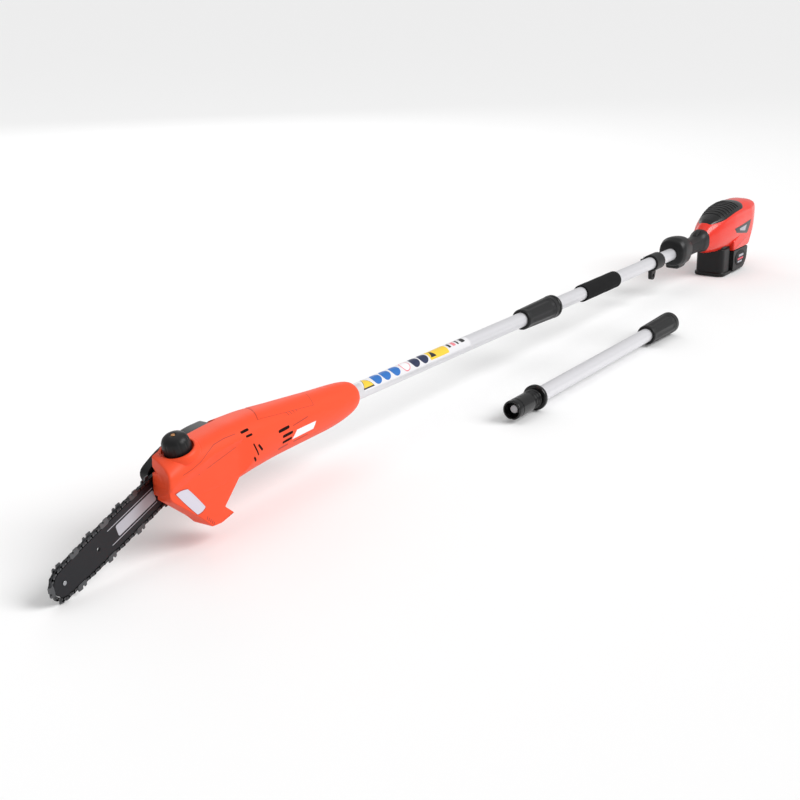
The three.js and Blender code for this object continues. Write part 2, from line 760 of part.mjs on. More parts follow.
/** The guide bar with its nose sprocket, rivet and tension pin. */
function guideBar(group) {
  const half = BAR_THICKNESS / 2;
  const shape = railLine(0, -BAR_TAIL, BAR_HALF_WIDTH - 5);
  const slot = new THREE.Path();
  slot.absarc(-STUD_AT - BAR_TRAVEL - GAP, 0, STUD_R + GAP, -Math.PI / 2, Math.PI / 2, true);
  slot.absarc(-STUD_AT + GAP, 0, STUD_R + GAP, Math.PI / 2, -Math.PI / 2, true);
  shape.holes.push(
    slot,
    roundHole(-BAR_HOLE_AT, 0, 3),
    roundHole(-STUD_AT, -12.5, TENSION_PIN_R + GAP),
  );
  const pocket = [[-1.2, 0], [-1.2, 30], [1.2, 30], [1.2, 0]];
  const bar = solid(atBar(slab(shape, -half, half, 8)))
    .subtract(solid(barTurned(-BAR_NOSE, 0, pocket)))
    .subtract(barBore(-BAR_NOSE, -9, 9, NOSE_RIVET_R + GAP));
  add(group, 'guide_bar', bar, DARK_BAR);
  const head = half + 0.8;
  const rivet = [[-head, 0], [-head, NOSE_RIVET_R], [head, NOSE_RIVET_R], [head, 0]];
  add(group, 'nose_rivet', barTurned(-BAR_NOSE, 0, rivet), STEEL);
  const teeth = toothedOutline(NOSE_SPROCKET_TEETH, NOSE_SPROCKET_R - 2.5, NOSE_SPROCKET_R);
  teeth.holes.push(roundHole(0, 0, NOSE_RIVET_R + GAP));
  add(group, 'nose_sprocket', atBar(slab(teeth, -0.8, 0.8, 4).translate(-BAR_NOSE, 0, 0)), STEEL);
  const pin = [[-half, 0], [-half, TENSION_PIN_R], [half + 3, TENSION_PIN_R], [half + 3, 0]];
  add(group, 'tension_pin', barTurned(-STUD_AT, -12.5, pin, 12), STEEL);
}

/** The saw chain: a closed band of links with its cutters, left and right in turn. */
function sawChain(group) {
  const half = CHAIN_WIDTH / 2;
  const band = chainLine(CHAIN_HEIGHT);
  band.holes.push(chainLine(0));
  let chain = solid(atBar(slab(band, -half, half, 7)));
  const line = chainLine(CHAIN_HEIGHT - 0.8);
  const cutters = Math.floor(line.getLength() / CUTTER_PITCH);
  for (let i = 0; i < cutters; i++) {
    const at = (i + 0.5) / cutters;
    const place = line.getPointAt(at);
    const along = line.getTangentAt(at);
    const box = new THREE.BoxGeometry(CUTTER_LENGTH, half, CUTTER_HEIGHT + 0.8)
      .translate(0, (i % 2 ? 0.5 : -0.5) * half, -(CUTTER_HEIGHT + 0.8) / 2)
      .rotateY(-Math.atan2(along.y, along.x))
      .translate(place.x, 0, place.y);
    chain = chain.add(solid(atBar(box)));
  }
  add(group, 'saw_chain', chain, DARK_BAR);
}

/** The sprocket, its shaft and bearings, the bevel pair and the casting round them. */
function gearTrain(group) {
  const apex = DRIVE_Y - BAR_Y; // along Y, in the bar's frame
  const slope = PINION_R / BEVEL_R;
  const near = BEVEL_R - BEVEL_DEPTH;
  const bore = SPROCKET_SHAFT_R + GAP;
  const gearBack = apex - PINION_R - GAP;
  const rightBearing = caseFace - BEARING_WIDTH;
  const leftBearing = gearBack - 5 - GAP - BEARING_WIDTH;

  const teeth = toothedOutline(SPROCKET_TEETH, SPROCKET_R - 5, SPROCKET_R - 0.5);
  const sprocket = solid(atBar(slab(teeth, -2, 2))).subtract(barBore(0, -5, 5, bore));
  add(group, 'drive_sprocket', sprocket, STEEL);
  const shaft = [[leftBearing, 0], [leftBearing, SPROCKET_SHAFT_R], [7, SPROCKET_SHAFT_R], [7, 0]];
  add(group, 'sprocket_shaft', barTurned(0, 0, shaft), STEEL);
  const ring = (y) => [
    [y, bore],
    [y, BEARING_R],
    [y + BEARING_WIDTH, BEARING_R],
    [y + BEARING_WIDTH, bore],
  ];
  add(group, 'shaft_bearing_right', barTurned(0, 0, ring(rightBearing), 20), STEEL);
  add(group, 'shaft_bearing_left', barTurned(0, 0, ring(leftBearing), 20), STEEL);
  const gear = [
    [gearBack - 5, bore],
    [gearBack - 5, BEVEL_R - 4],
    [gearBack, BEVEL_R],
    [gearBack + BEVEL_DEPTH * slope, near],
    [gearBack + BEVEL_DEPTH * slope, bore],
  ];
  add(group, 'bevel_gear', barTurned(0, 0, gear, 24), STEEL);

  const caseInner = BEVEL_R + 1.5;
  const caseOuter = caseInner + GEAR_CASE_WALL;
  const closed = leftBearing - GAP;
  const gearCase = solid(barTurned(0, 0, [
    [closed - GEAR_CASE_WALL, 0],
    [closed - GEAR_CASE_WALL, BEARING_R + 3],
    [gearBack - 6, caseOuter],
    [rightBearing - 2, caseOuter],
    [rightBearing - 2, caseInner],
    [gearBack - 6, caseInner],
    [gearBack - 6, BEARING_R + GAP],
    [closed, BEARING_R + GAP],
    [closed, 0],
  ], 24)).subtract(solid(atDrive(rod(0, 2 * caseOuter, PINION_R + 2))));
  add(group, 'gear_case', gearCase, GREY);
}

/** Moves a body from the motor's frame (+X to the rear, bevel apex at 0) to the head. */
const atDrive = (geometry) => geometry.translate(-SPROCKET_BACK, DRIVE_Y, SPROCKET_RISE);

/** The motor: wound stator, rotor on its shaft, two bearings and the bevel pinion. */
function motor(group) {
  const back = SPROCKET_BACK - MOTOR_BACK;
  const front = back - MOTOR_LENGTH;
  const near = BEVEL_R - BEVEL_DEPTH + GAP;
  const far = BEVEL_R + GAP;
  const bore = MOTOR_SHAFT_R + GAP;
  const nearR = (PINION_R * (BEVEL_R - BEVEL_DEPTH)) / BEVEL_R;
  const rotor = turned([
    [far + GAP, 0],
    [far + GAP, MOTOR_SHAFT_R],
    [front + 6, MOTOR_SHAFT_R],
    [front + 6, ROTOR_R],
    [back - 6, ROTOR_R],
    [back - 6, MOTOR_SHAFT_R],
    [back + 14, MOTOR_SHAFT_R],
    [back + 14, 0],
  ]);
  add(group, 'motor_rotor', atDrive(rotor), STEEL);
  const pinion = turned([[near, 0], [near, nearR], [far, PINION_R], [far, 0]], 20);
  add(group, 'bevel_pinion', atDrive(pinion), STEEL);
  add(group, 'motor_stator', atDrive(sleeve(front, back, ROTOR_R + 1, MOTOR_R)), COPPER);
  const ring = (x) => sleeve(x, x + BEARING_WIDTH, bore, BEARING_R);
  add(group, 'motor_bearing_front', atDrive(ring(front - BEARING_WIDTH - 2)), STEEL);
  add(group, 'motor_bearing_rear', atDrive(ring(back + 2)), STEEL);
}

// ---------------------------------------------------------------- oil system

/** The oil tank and its neck, the domed cap with its brass screw, the pump and its line. */
function oilSystem(group) {
  const tankShape = (wall) =>
    outline([
      [-431 + wall, TANK_TOP - wall, 5],
      [-431 + wall, -9 + wall / 2, 5],
      [-400 + wall / 2, -37 + wall, 5],
      [tankRear - wall, -37 + wall, 5],
      [tankRear - wall, TANK_TOP - wall, 5],
    ]);
  const left = -HOOK_LEFT + WALL + GAP;
  const neckFoot = TANK_TOP - CAP_RISE - 3;
  const inside = solid(slab(tankShape(TANK_WALL), left + TANK_WALL, TANK_RIGHT - TANK_WALL))
    .subtract(frontCut(2 * WALL + GAP + 1.5 * TANK_WALL));
  const tank = solid(slab(tankShape(0), left, TANK_RIGHT))
    .subtract(frontCut(2 * WALL + GAP))
    .add(capBore(neckFoot, 6, NECK_R))
    .subtract(inside)
    .subtract(capBore(neckFoot - 3, 7, NECK_BORE));
  add(group, 'oil_tank', tank, LENS);

  const dome = [
    [8, 0],
    [8, NECK_R + GAP],
    [-2.5, NECK_R + GAP],
    [-2.5, CAP_R - 1],
    [-1.5, CAP_R],
    [0.45 * CAP_HEIGHT, CAP_R - 0.3],
    [0.72 * CAP_HEIGHT, CAP_R - 2.4],
    [0.9 * CAP_HEIGHT, CAP_R - 6.5],
    [CAP_HEIGHT, CAP_R - 13],
    [CAP_HEIGHT, 3],
    [CAP_HEIGHT - 2, 3],
    [CAP_HEIGHT - 2, 0],
  ];
  add(group, 'oil_cap', capTurned(dome, 24), BLACK);
  const screwFoot = CAP_HEIGHT - 2 + GAP;
  const screwTop = CAP_HEIGHT + 0.4;
  const screw = [[screwFoot, 0], [screwFoot, 2.7], [screwTop, 2.7], [screwTop, 0]];
  add(group, 'cap_screw', capTurned(screw, 16), BRASS);

  const pumpEnd = tankRear + PUMP_LENGTH;
  const pump = rod(tankRear + GAP, pumpEnd, PUMP_R).translate(0, PUMP_Y, -PUMP_DROP);
  add(group, 'oil_pump', pump, GREY);
  const casting = COVER_FACE - WALL;
  const line = new THREE.CatmullRomCurve3([
    new THREE.Vector3(pumpEnd + 2 * GAP, PUMP_Y, -PUMP_DROP),
    new THREE.Vector3(pumpEnd + 4, PUMP_Y, -PUMP_DROP),
    new THREE.Vector3(pumpEnd + 9, PUMP_Y + 2, -PUMP_DROP),
    new THREE.Vector3(pumpEnd + 10, PUMP_Y + 10, -PUMP_DROP),
    new THREE.Vector3(pumpEnd + 2, casting - 7, -PUMP_DROP),
    new THREE.Vector3(pumpEnd - 7, casting - 2, -PUMP_DROP),
  ]);
  const section = new THREE.Shape().absarc(0, 0, LINE_R, 0, 2 * Math.PI);
  const hose = new THREE.ExtrudeGeometry(section, {
    extrudePath: line,
    steps: 12,
    curveSegments: 4,
    bevelEnabled: false,
  });
  add(group, 'oil_line', hose, BLACK);
}

// ---------------------------------------------------------------- rear handle

const handleStations = [
  [guardX, 22, 23, -20, 2.4],
  [guardX + 5, 28, 31, -25, 2.4],
  [guardX + 18, GUARD_HALF_WIDTH, 35, -28, 2.5],
  [guardX + 48, GUARD_HALF_WIDTH - 2, 33, -28, 2.5],
  [guardX + 70, 20, 25, -24, 2.4],
  [gripX, GRIP_R, 19, -20, 2.3],
  [gripX + 30, GRIP_R - 1, 17, -18.5, 2.3],
  [gripX + 58, GRIP_R, 19.5, -19, 2.3],
  [housingX - 12, GRIP_R + 3, 26, -22, 2.4],
  [housingX - GAP, GRIP_R + 4.5, 28, -23, 2.4],
];

/** The two halves of the guard and grip, with the trigger, lock lever and switch. */
function handle(group) {
  const shield = outline([
    [guardX + 8, -18],
    [guardX + 11, -33, 5],
    [guardX + 46, -33, 7],
    [guardX + 60, -26, 7],
    [guardX + 78, -17],
  ]);
  const triggerRoom = TRIGGER_WIDTH / 2 + 1;
  const lockRoom = LOCK_WIDTH / 2 + 1;
  const body = solid(lofted(handleStations))
    .add(solid(slab(shield, -15, 15)))
    .subtract(solid(lofted(inset(handleStations, WALL))))
    .subtract(solid(rod(guardX - 5, guardX + TUBE_IN_HANDLE, sleeveR, 20)))
    .subtract(block(gripX - 4, gripX + 30, -triggerRoom, triggerRoom, -40, -10))
    .subtract(block(lockX - 3, lockX + 34, -lockRoom, lockRoom, 10, 40));
  add(group, 'grip_left', largest(body.intersect(leftOf(-SEAM_GAP / 2))), BLACK);
  add(group, 'grip_right', largest(body.intersect(rightOf(SEAM_GAP / 2))), BLACK);

  const trigger = outline([
    [gripX - 2, -10, 1],
    [gripX + 4, -8, 1],
    [gripX + 28, -13, 1],
    [gripX + 26, -19, 3],
    [gripX + 14, -21, 6],
    [gripX + 6, -26, 3],
    [gripX, -25, 2],
  ]);
  add(group, 'trigger', slab(trigger, -TRIGGER_WIDTH / 2, TRIGGER_WIDTH / 2), BLACK);
  const lever = outline([
    [lockX, 12, 1],
    [lockX, 19, 2],
    [lockX + 10, 24, 4],
    [lockX + 27, 29, 3],
    [lockX + 30, 25, 2],
    [lockX + 30, 14, 1],
  ]);
  add(group, 'lock_lever', slab(lever, -LOCK_WIDTH / 2, LOCK_WIDTH / 2), BLACK);
  add(group, 'switch_body', block(gripX + 16, gripX + 42, -8, 8, -3, 9), GREY);
}

// ---------------------------------------------------------------- rear housing and battery

const housingStations = [
  [housingX, 19, 26, -24, 2.4],
  [housingX + 16, 24, 36, -28, 2.4],
  [housingX + 44, 31, 47, -32, 2.4],
  [housingX + 80, 36, 58, -35, 2.5],
  [housingX + 126, HOUSING_HALF_WIDTH - 1, 66, -36, 2.6],
  [housingX + 176, HOUSING_HALF_WIDTH, 69, -36, 2.6],
  [housingX + HOUSING_LENGTH - 46, HOUSING_HALF_WIDTH, 67, -35, 2.6],
  [housingX + HOUSING_LENGTH - 26, HOUSING_HALF_WIDTH - 2, 64, -20, 2.6],
  [housingX + HOUSING_LENGTH - 10, HOUSING_HALF_WIDTH - 7, 60, 18, 2.5],
  [housingX + HOUSING_LENGTH, HOUSING_HALF_WIDTH - 14, 56, 38, 2.4],
];

/** The plan of the top vent panel, narrower at the front. */
function ventOutline(margin) {
  return outline([
    [housingX + 20 - margin, -13 - margin, 6],
    [housingX + 78, -30 - margin, 10],
    [housingX + 178 + margin, -26 - margin, 8],
    [housingX + 178 + margin, 26 + margin, 8],
    [housingX + 78, 30 + margin, 10],
    [housingX + 20 - margin, 13 + margin, 6],
  ]);
}

/** The plan of the foot's wall: a U, rounded in front and open to the rear. */
function footOutline(margin, rear) {
  const side = FOOT_HALF_WIDTH + margin;
  return outline([
    [footX - margin, -side, 14 + margin],
    [rear, -side],
    [rear, side],
    [footX - margin, side, 14 + margin],
  ]);
}

/** The two crimson half shells, the vent panel, the controller and the battery's terminals. */
function housing(group) {
  const far = housingX + HOUSING_LENGTH + 50;
  const railRoom = RAIL_HALF_WIDTH + 1;
  const bay = block(battX - 2 * GAP, far, -railRoom, railRoom, -80, railTop + 1);
  const shell = solid(lofted(housingStations))
    .subtract(solid(lofted(inset(housingStations, WALL))))
    .subtract(solid(plate(ventOutline(GAP), 20, 120)))
    .subtract(bay)
    .subtract(solid(plate(footOutline(GAP, footWrap + GAP), -80, footTop + GAP)))
    .subtract(solid(rod(housingX - 5, housingX + 5, 9, 16)));
  add(group, 'housing_left', largest(shell.intersect(leftOf(-SEAM_GAP / 2))), CRIMSON);
  add(group, 'housing_right', largest(shell.intersect(rightOf(SEAM_GAP / 2))), CRIMSON);

  const vent = solid(lofted(inset(housingStations, -1)))
    .subtract(solid(lofted(inset(housingStations, WALL - 1))))
    .intersect(solid(plate(ventOutline(0), 20, 120)));
  add(group, 'vent_panel', largest(vent), BLACK);

  const boardX = housingX + 66;
  const board = block(boardX, boardX + 100, -28, 28, 14, 16)
    .add(block(boardX + 8, boardX + 30, -20, -4, 15, 30))
    .add(block(boardX + 40, boardX + 92, -16, 20, 15, 26));
  add(group, 'controller_board', board, BOARD);
  const terminals = block(battX + 10, battX + 34, -16, 16, railTop + GAP, railTop + 14);
  add(group, 'terminal_block', terminals, GREY);
}

/** The black foot in front of and under the battery; its flat bottom stands on the ground. */
function batteryFoot(group) {
  const wall = solid(plate(footOutline(0, footWrap), footBottom, footTop))
    .add(solid(plate(footOutline(FOOT_LIP, footWrap + 8), footBottom, footBottom + 7)))
    .subtract(solid(plate(footOutline(-FOOT_WALL, footWrap + 20), footBottom + FOOT_WALL, 0)))
    .add(
      block(
        footX + 20,
        footX + FOOT_LENGTH,
        -FOOT_HALF_WIDTH,
        FOOT_HALF_WIDTH,
        footBottom,
        footBottom + FOOT_WALL,
      ),
    );
  add(group, 'battery_foot', wall, BLACK);
}

/** The battery: a narrow front in the foot, a wide body behind it, and its rails on top. */
function battery(group) {
  const bottom = footBottom + FOOT_WALL + GAP;
  const top = -BATTERY_TOP - 1.5;
  const bodyFront = footWrap + 12;
  const side = outline([
    [bodyFront, top, 4],
    [bodyFront, bottom, 4],
    [battBack - 22, bottom, 10],
    [battBack - 3, bottom + 18, 10],
    [battBack, top, 6],
  ]);
  const latchHalf = LATCH_WIDTH / 2;
  const latchTop = railTop + top;
  const latch = (margin, travel = 0) =>
    block(
      battBack - LATCH_DEPTH - travel - margin,
      battBack + 2 + margin,
      -latchHalf - margin,
      latchHalf + margin,
      (latchTop - LATCH_HEIGHT) / 2 - margin,
      (latchTop + LATCH_HEIGHT) / 2 + margin,
    );
  const pack = solid(slab(side, -BATTERY_HALF_WIDTH, BATTERY_HALF_WIDTH))
    .add(solid(plate(footOutline(-FOOT_WALL - GAP, bodyFront + 5), bottom, top)))
    .add(solid(plate(footOutline(RAIL_HALF_WIDTH - FOOT_HALF_WIDTH, battBack), top - 1, railTop)))
    .subtract(block(battX - 1, battX + 40, -17, 17, railTop - 5, railTop + 5))
    .subtract(latch(GAP, LATCH_TRAVEL));
  add(group, 'battery_pack', pack, BLACK);
  add(group, 'battery_latch', latch(0), BLACK);
}

// ---------------------------------------------------------------- assembly

const saw = new THREE.Group();

// The pole's frame: X along the pole from the head casing's exit, the pole's axis at zero.
const pole = new THREE.Group();
pole.position.set(-footMiddle, 0, AXIS_HEIGHT);
saw.add(pole);

headShells(pole);
sprocketCover(pole);
guideBar(pole);
sawChain(pole);
gearTrain(pole);
motor(pole);
oilSystem(pole);

const frontTubeEnd = couplingSocket(pole, collarX, 'pole_');
tube(pole, 'front_tube', -TUBE_IN_HEAD, frontTubeEnd);
cable(pole, 'front_cable', -TUBE_IN_HEAD - 30, frontTubeEnd - 8);
const rearTubeStart = couplingPlug(pole, flangeX, 'pole_');
tube(pole, 'rear_tube', rearTubeStart, guardX + TUBE_IN_HANDLE - GAP);
cable(pole, 'rear_cable', rearTubeStart + GAP, guardX + TUBE_IN_HANDLE + 12);
foamGrip(pole);
strapClamp(pole);
handle(pole);
housing(pole);
batteryFoot(pole);
battery(pole);

// The loose extension lies on the ground that the bar's nose and the foot stand on.
const noseX = -SPROCKET_BACK - BAR_NOSE * Math.cos(BAR_TILT);
const noseZ = SPROCKET_RISE - BAR_NOSE * Math.sin(BAR_TILT) - chainOuterNose;
const groundRise = (footBottom - noseZ) / (footX + FOOT_LENGTH - noseX);
const extension = new THREE.Group();
extension.position.set(
  EXTENSION_AT,
  EXTENSION_Y,
  noseZ + groundRise * (EXTENSION_AT - noseX) + FLANGE_R + GAP,
);
extension.rotation.y = -Math.atan(groundRise);
pole.add(extension);
const extensionFlange = PLUG_NOSE_LENGTH + PLUG_THREAD_LENGTH + GAP;
const extensionCollar = extensionFlange + FLANGE_LENGTH + EXTENSION_TUBE;
const extensionTubeStart = couplingPlug(extension, extensionFlange, 'extension_');
const extensionTubeEnd = couplingSocket(extension, extensionCollar, 'extension_');
tube(extension, 'extension_tube', extensionTubeStart, extensionTubeEnd);
cable(extension, 'extension_cable', extensionTubeStart + GAP, extensionTubeEnd - 8);

export default saw;
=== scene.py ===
"""Looks for the battery pole saw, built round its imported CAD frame.

Shapes are given in millimetres in the frame of the sub-assembly that they belong to, such as the
pole, the guide bar or the loose extension, and are placed in the part's frame in metres.
"""

from __future__ import annotations

import json
import logging
import math
from collections.abc import Callable, Sequence
from dataclasses import dataclass, field
from enum import Enum

import bmesh
import bpy
import numpy as np
from mathutils import Matrix, Vector

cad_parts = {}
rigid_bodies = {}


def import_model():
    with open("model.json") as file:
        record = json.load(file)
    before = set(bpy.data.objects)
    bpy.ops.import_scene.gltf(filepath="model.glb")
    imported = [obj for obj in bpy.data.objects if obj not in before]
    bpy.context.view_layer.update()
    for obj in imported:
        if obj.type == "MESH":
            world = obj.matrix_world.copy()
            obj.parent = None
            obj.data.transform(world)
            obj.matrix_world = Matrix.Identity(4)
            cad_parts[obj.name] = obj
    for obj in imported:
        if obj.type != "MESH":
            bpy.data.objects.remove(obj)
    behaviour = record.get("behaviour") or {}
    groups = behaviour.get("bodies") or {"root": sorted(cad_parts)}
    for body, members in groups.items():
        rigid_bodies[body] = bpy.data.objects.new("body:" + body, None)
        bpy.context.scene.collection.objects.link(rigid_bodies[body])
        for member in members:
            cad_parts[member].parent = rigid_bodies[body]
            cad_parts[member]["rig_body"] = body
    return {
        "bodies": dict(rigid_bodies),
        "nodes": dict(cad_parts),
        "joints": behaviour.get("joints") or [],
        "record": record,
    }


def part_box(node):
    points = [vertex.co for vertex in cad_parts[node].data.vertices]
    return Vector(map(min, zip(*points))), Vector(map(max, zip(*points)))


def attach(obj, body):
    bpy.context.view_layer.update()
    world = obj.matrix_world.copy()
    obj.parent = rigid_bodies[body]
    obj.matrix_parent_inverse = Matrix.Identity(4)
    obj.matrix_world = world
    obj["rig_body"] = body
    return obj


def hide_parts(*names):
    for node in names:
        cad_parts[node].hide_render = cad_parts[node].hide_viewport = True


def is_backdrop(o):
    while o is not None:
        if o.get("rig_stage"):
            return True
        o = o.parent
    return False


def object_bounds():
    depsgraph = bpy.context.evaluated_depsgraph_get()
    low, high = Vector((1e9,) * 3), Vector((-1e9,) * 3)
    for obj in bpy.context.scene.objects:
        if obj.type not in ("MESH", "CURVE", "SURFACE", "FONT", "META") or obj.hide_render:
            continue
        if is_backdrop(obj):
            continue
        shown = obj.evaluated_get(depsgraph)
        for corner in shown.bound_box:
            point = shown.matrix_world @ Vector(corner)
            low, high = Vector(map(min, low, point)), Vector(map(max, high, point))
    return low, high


MM = 0.001
LOG = logging.getLogger("pole_saw")

Points = np.ndarray
Faces = list[Sequence[int]]


# ---------------------------------------------------------------- finishes


class Slot(Enum):
    """The record's material slots that new pieces take their finish from."""

    ORANGE = "orange_shell"
    CRIMSON = "crimson_shell"
    BLACK = "black_plastic"
    GREY = "grey_plastic"
    RUBBER = "black_rubber"
    FOAM = "foam"
    LENS = "oil_lens"
    TANK = "tank_plastic"
    TUBE = "silver_tube"
    BAR = "dark_bar"
    CHAIN = "chain_steel"
    STEEL = "steel"
    BRASS = "brass"
    CASTING = "casting"
    IRON = "motor_iron"
    BOARD = "circuit_board"


class GrainGroup:
    """The shared node group for moulded, cast and foam surfaces.

    It turns a position into a fine height for a bump, a roughness that wanders a little, and a
    tone that shades the colour in soft clouds.
    """

    NAME = "surface_grain"

    def __init__(self) -> None:
        """Builds the group once."""
        tree = bpy.data.node_groups.new(self.NAME, "ShaderNodeTree")
        face = tree.interface
        face.new_socket("Position", in_out="INPUT", socket_type="NodeSocketVector")
        for name, value in (
            ("Grain Scale", 900.0),
            ("Cloud Scale", 14.0),
            ("Roughness", 0.5),
            ("Roughness Spread", 0.05),
        ):
            socket = face.new_socket(name, in_out="INPUT", socket_type="NodeSocketFloat")
            socket.default_value = value
        for name, kind in (("Color", "Color"), ("Shade", "Color")):
            face.new_socket(name, in_out="INPUT", socket_type=f"NodeSocket{kind}")
        face.new_socket("Color", in_out="OUTPUT", socket_type="NodeSocketColor")
        face.new_socket("Roughness", in_out="OUTPUT", socket_type="NodeSocketFloat")
        face.new_socket("Height", in_out="OUTPUT", socket_type="NodeSocketFloat")
        self.tree = tree
        self._wire()

    def _wire(self) -> None:
        """Joins the group's nodes."""
        nodes, links = self.tree.nodes, self.tree.links
        entry = nodes.new("NodeGroupInput")
        leave = nodes.new("NodeGroupOutput")
        grain = nodes.new("ShaderNodeTexNoise")
        grain.inputs["Detail"].default_value = 2.0
        cloud = nodes.new("ShaderNodeTexNoise")
        cloud.inputs["Detail"].default_value = 3.0
        tone = nodes.new("ShaderNodeMix")
        tone.data_type = "RGBA"
        spread = nodes.new("ShaderNodeMath")
        spread.operation = "MULTIPLY_ADD"
        centred = nodes.new("ShaderNodeMath")
        centred.operation = "SUBTRACT"
        centred.inputs[1].default_value = 0.5
        links.new(entry.outputs["Position"], grain.inputs["Vector"])
        links.new(entry.outputs["Position"], cloud.inputs["Vector"])
        links.new(entry.outputs["Grain Scale"], grain.inputs["Scale"])
        links.new(entry.outputs["Cloud Scale"], cloud.inputs["Scale"])
        links.new(cloud.outputs["Fac"], tone.inputs[0])
        links.new(entry.outputs["Color"], tone.inputs[6])
        links.new(entry.outputs["Shade"], tone.inputs[7])
        links.new(cloud.outputs["Fac"], centred.inputs[0])
        links.new(centred.outputs[0], spread.inputs[0])
        links.new(entry.outputs["Roughness Spread"], spread.inputs[1])
        links.new(entry.outputs["Roughness"], spread.inputs[2])
        links.new(tone.outputs[2], leave.inputs["Color"])
        links.new(spread.outputs[0], leave.inputs["Roughness"])
        links.new(grain.outputs["Fac"], leave.inputs["Height"])


@dataclass(frozen=True)
class Finish:
    """One finish: its colour and shine, and how strong its grain and clouds are.

    Colours are linear. The shade is the colour of the darker clouds.
    """

    name: str
    color: tuple[float, float, float]
    roughness: float
    metallic: float = 0.0
    coat: float = 0.0
    shade: float = 0.86
    grain_scale: float = 900.0
    grain_depth: float = 0.0
    spread: float = 0.08
    specular: float = 0.5
    transmission: float = 0.0

    def material(self, grain: GrainGroup) -> bpy.types.Material:
        """Makes the material, or returns the one already made.

        Args:
            grain: The shared grain group.

        Returns:
            The finished material.
        """
        made = bpy.data.materials.get(self.name)
        if made is not None:
            return made
        made = bpy.data.materials.new(self.name)
        made.use_nodes = True
        made.diffuse_color = (*self.color, 1.0)
        nodes, links = made.node_tree.nodes, made.node_tree.links
        nodes.clear()
        output = nodes.new("ShaderNodeOutputMaterial")
        shader = nodes.new("ShaderNodeBsdfPrincipled")
        place = nodes.new("ShaderNodeTexCoord")
        surface = nodes.new("ShaderNodeGroup")
        surface.node_tree = grain.tree
        surface.inputs["Grain Scale"].default_value = self.grain_scale
        surface.inputs["Roughness"].default_value = self.roughness
        surface.inputs["Roughness Spread"].default_value = self.spread
        surface.inputs["Color"].default_value = (*self.color, 1.0)
        surface.inputs["Shade"].default_value = (*(self.shade * c for c in self.color), 1.0)
        links.new(place.outputs["Object"], surface.inputs["Position"])
        links.new(surface.outputs["Color"], shader.inputs["Base Color"])
        links.new(surface.outputs["Roughness"], shader.inputs["Roughness"])
        links.new(shader.outputs["BSDF"], output.inputs["Surface"])
        if self.grain_depth > 0.0:
            bump = nodes.new("ShaderNodeBump")
            bump.inputs["Strength"].default_value = 0.35
            bump.inputs["Distance"].default_value = self.grain_depth * MM
            links.new(surface.outputs["Height"], bump.inputs["Height"])
            links.new(bump.outputs["Normal"], shader.inputs["Normal"])
        shader.inputs["Metallic"].default_value = self.metallic
        shader.inputs["Coat Weight"].default_value = self.coat
        shader.inputs["Coat Roughness"].default_value = 0.12
        shader.inputs["Specular IOR Level"].default_value = self.specular
        shader.inputs["Transmission Weight"].default_value = self.transmission
        return made


ORANGE = Finish(
    "satin_orange", (0.88, 0.074, 0.019), 0.48, shade=0.93, grain_depth=0.03, specular=0.3
)
# Painted shade: a darker copy of the orange for notches, seams, rib sides, panel edges and the rims
# round the window and top panel.
ORANGE_PAINTED_SHADE = Finish("orange_painted_shade", (0.50, 0.030, 0.008), 0.5, shade=0.9)
CRIMSON = Finish(
    "gloss_crimson", (0.80, 0.030, 0.014), 0.24, coat=0.15, shade=0.93, spread=0.03, specular=0.35
)
BLACK = Finish(
    "satin_black", (0.007, 0.0072, 0.008), 0.42, shade=0.8, grain_depth=0.05, specular=0.3
)
BLACK_GLOSS = Finish(
    "gloss_black", (0.005, 0.005, 0.0056), 0.25, coat=0.08, spread=0.04, specular=0.35
)
BLACK_TEXTURED = Finish(
    "textured_black", (0.009, 0.0092, 0.0102), 0.6, shade=0.8, grain_scale=1400.0, grain_depth=0.2,
    specular=0.3,
)
# Painted shade: a dark sheet laid over each slot and vent, whose openings hold only shade.
SHADOW = Finish("slot_painted_shade", (0.012, 0.004, 0.003), 0.8, specular=0.1)
GREY = Finish("grey_moulding", (0.26, 0.26, 0.27), 0.5, grain_depth=0.05)
PALE_GREY = Finish("pale_moulding", (0.55, 0.54, 0.56), 0.45, grain_depth=0.05)
RUBBER = Finish("cable_rubber", (0.01, 0.01, 0.01), 0.55, grain_depth=0.05)
FOAM = Finish(
    "closed_cell_foam", (0.009, 0.009, 0.0096), 0.92, shade=0.7, grain_scale=650.0, grain_depth=0.9,
    specular=0.2,
)
LENS = Finish("oil_lens", (0.56, 0.51, 0.58), 0.34, coat=0.2, shade=0.9, transmission=0.1)
TANK = Finish("tank_wall", (0.62, 0.60, 0.54), 0.4, shade=0.9, transmission=0.2)
TUBE = Finish(
    "satin_silver", (0.71, 0.705, 0.73), 0.34, metallic=0.35, coat=0.05, shade=0.96, spread=0.04
)
BAR = Finish("bar_enamel", (0.006, 0.0062, 0.009), 0.4, shade=0.75, grain_depth=0.03, specular=0.3)
CHAIN = Finish("oiled_chain", (0.085, 0.087, 0.092), 0.34, metallic=0.85, shade=0.3, grain_depth=0.03)
CUTTER = Finish("cutter_steel", (0.15, 0.153, 0.16), 0.32, metallic=0.9, shade=0.45, grain_depth=0.03)
STEEL = Finish("plain_steel", (0.42, 0.43, 0.45), 0.3, metallic=1.0, shade=0.8, grain_depth=0.02)
BRASS = Finish("plain_brass", (0.62, 0.32, 0.14), 0.32, metallic=1.0, shade=0.85)
CASTING = Finish("die_casting", (0.33, 0.34, 0.35), 0.5, metallic=0.8, grain_depth=0.1)
IRON = Finish("wound_iron", (0.38, 0.13, 0.06), 0.45, metallic=0.8, shade=0.6, grain_scale=400.0)
BOARD = Finish("coated_board", (0.012, 0.10, 0.04), 0.35, coat=0.3)
PANEL_GREY = Finish("printed_grey", (0.42, 0.42, 0.46), 0.45, shade=0.94)
PANEL_WHITE = Finish("printed_white", (0.84, 0.84, 0.86), 0.4, shade=0.97)
PANEL_CLEAR = Finish("printed_clear", (0.74, 0.735, 0.755), 0.35, shade=0.98)
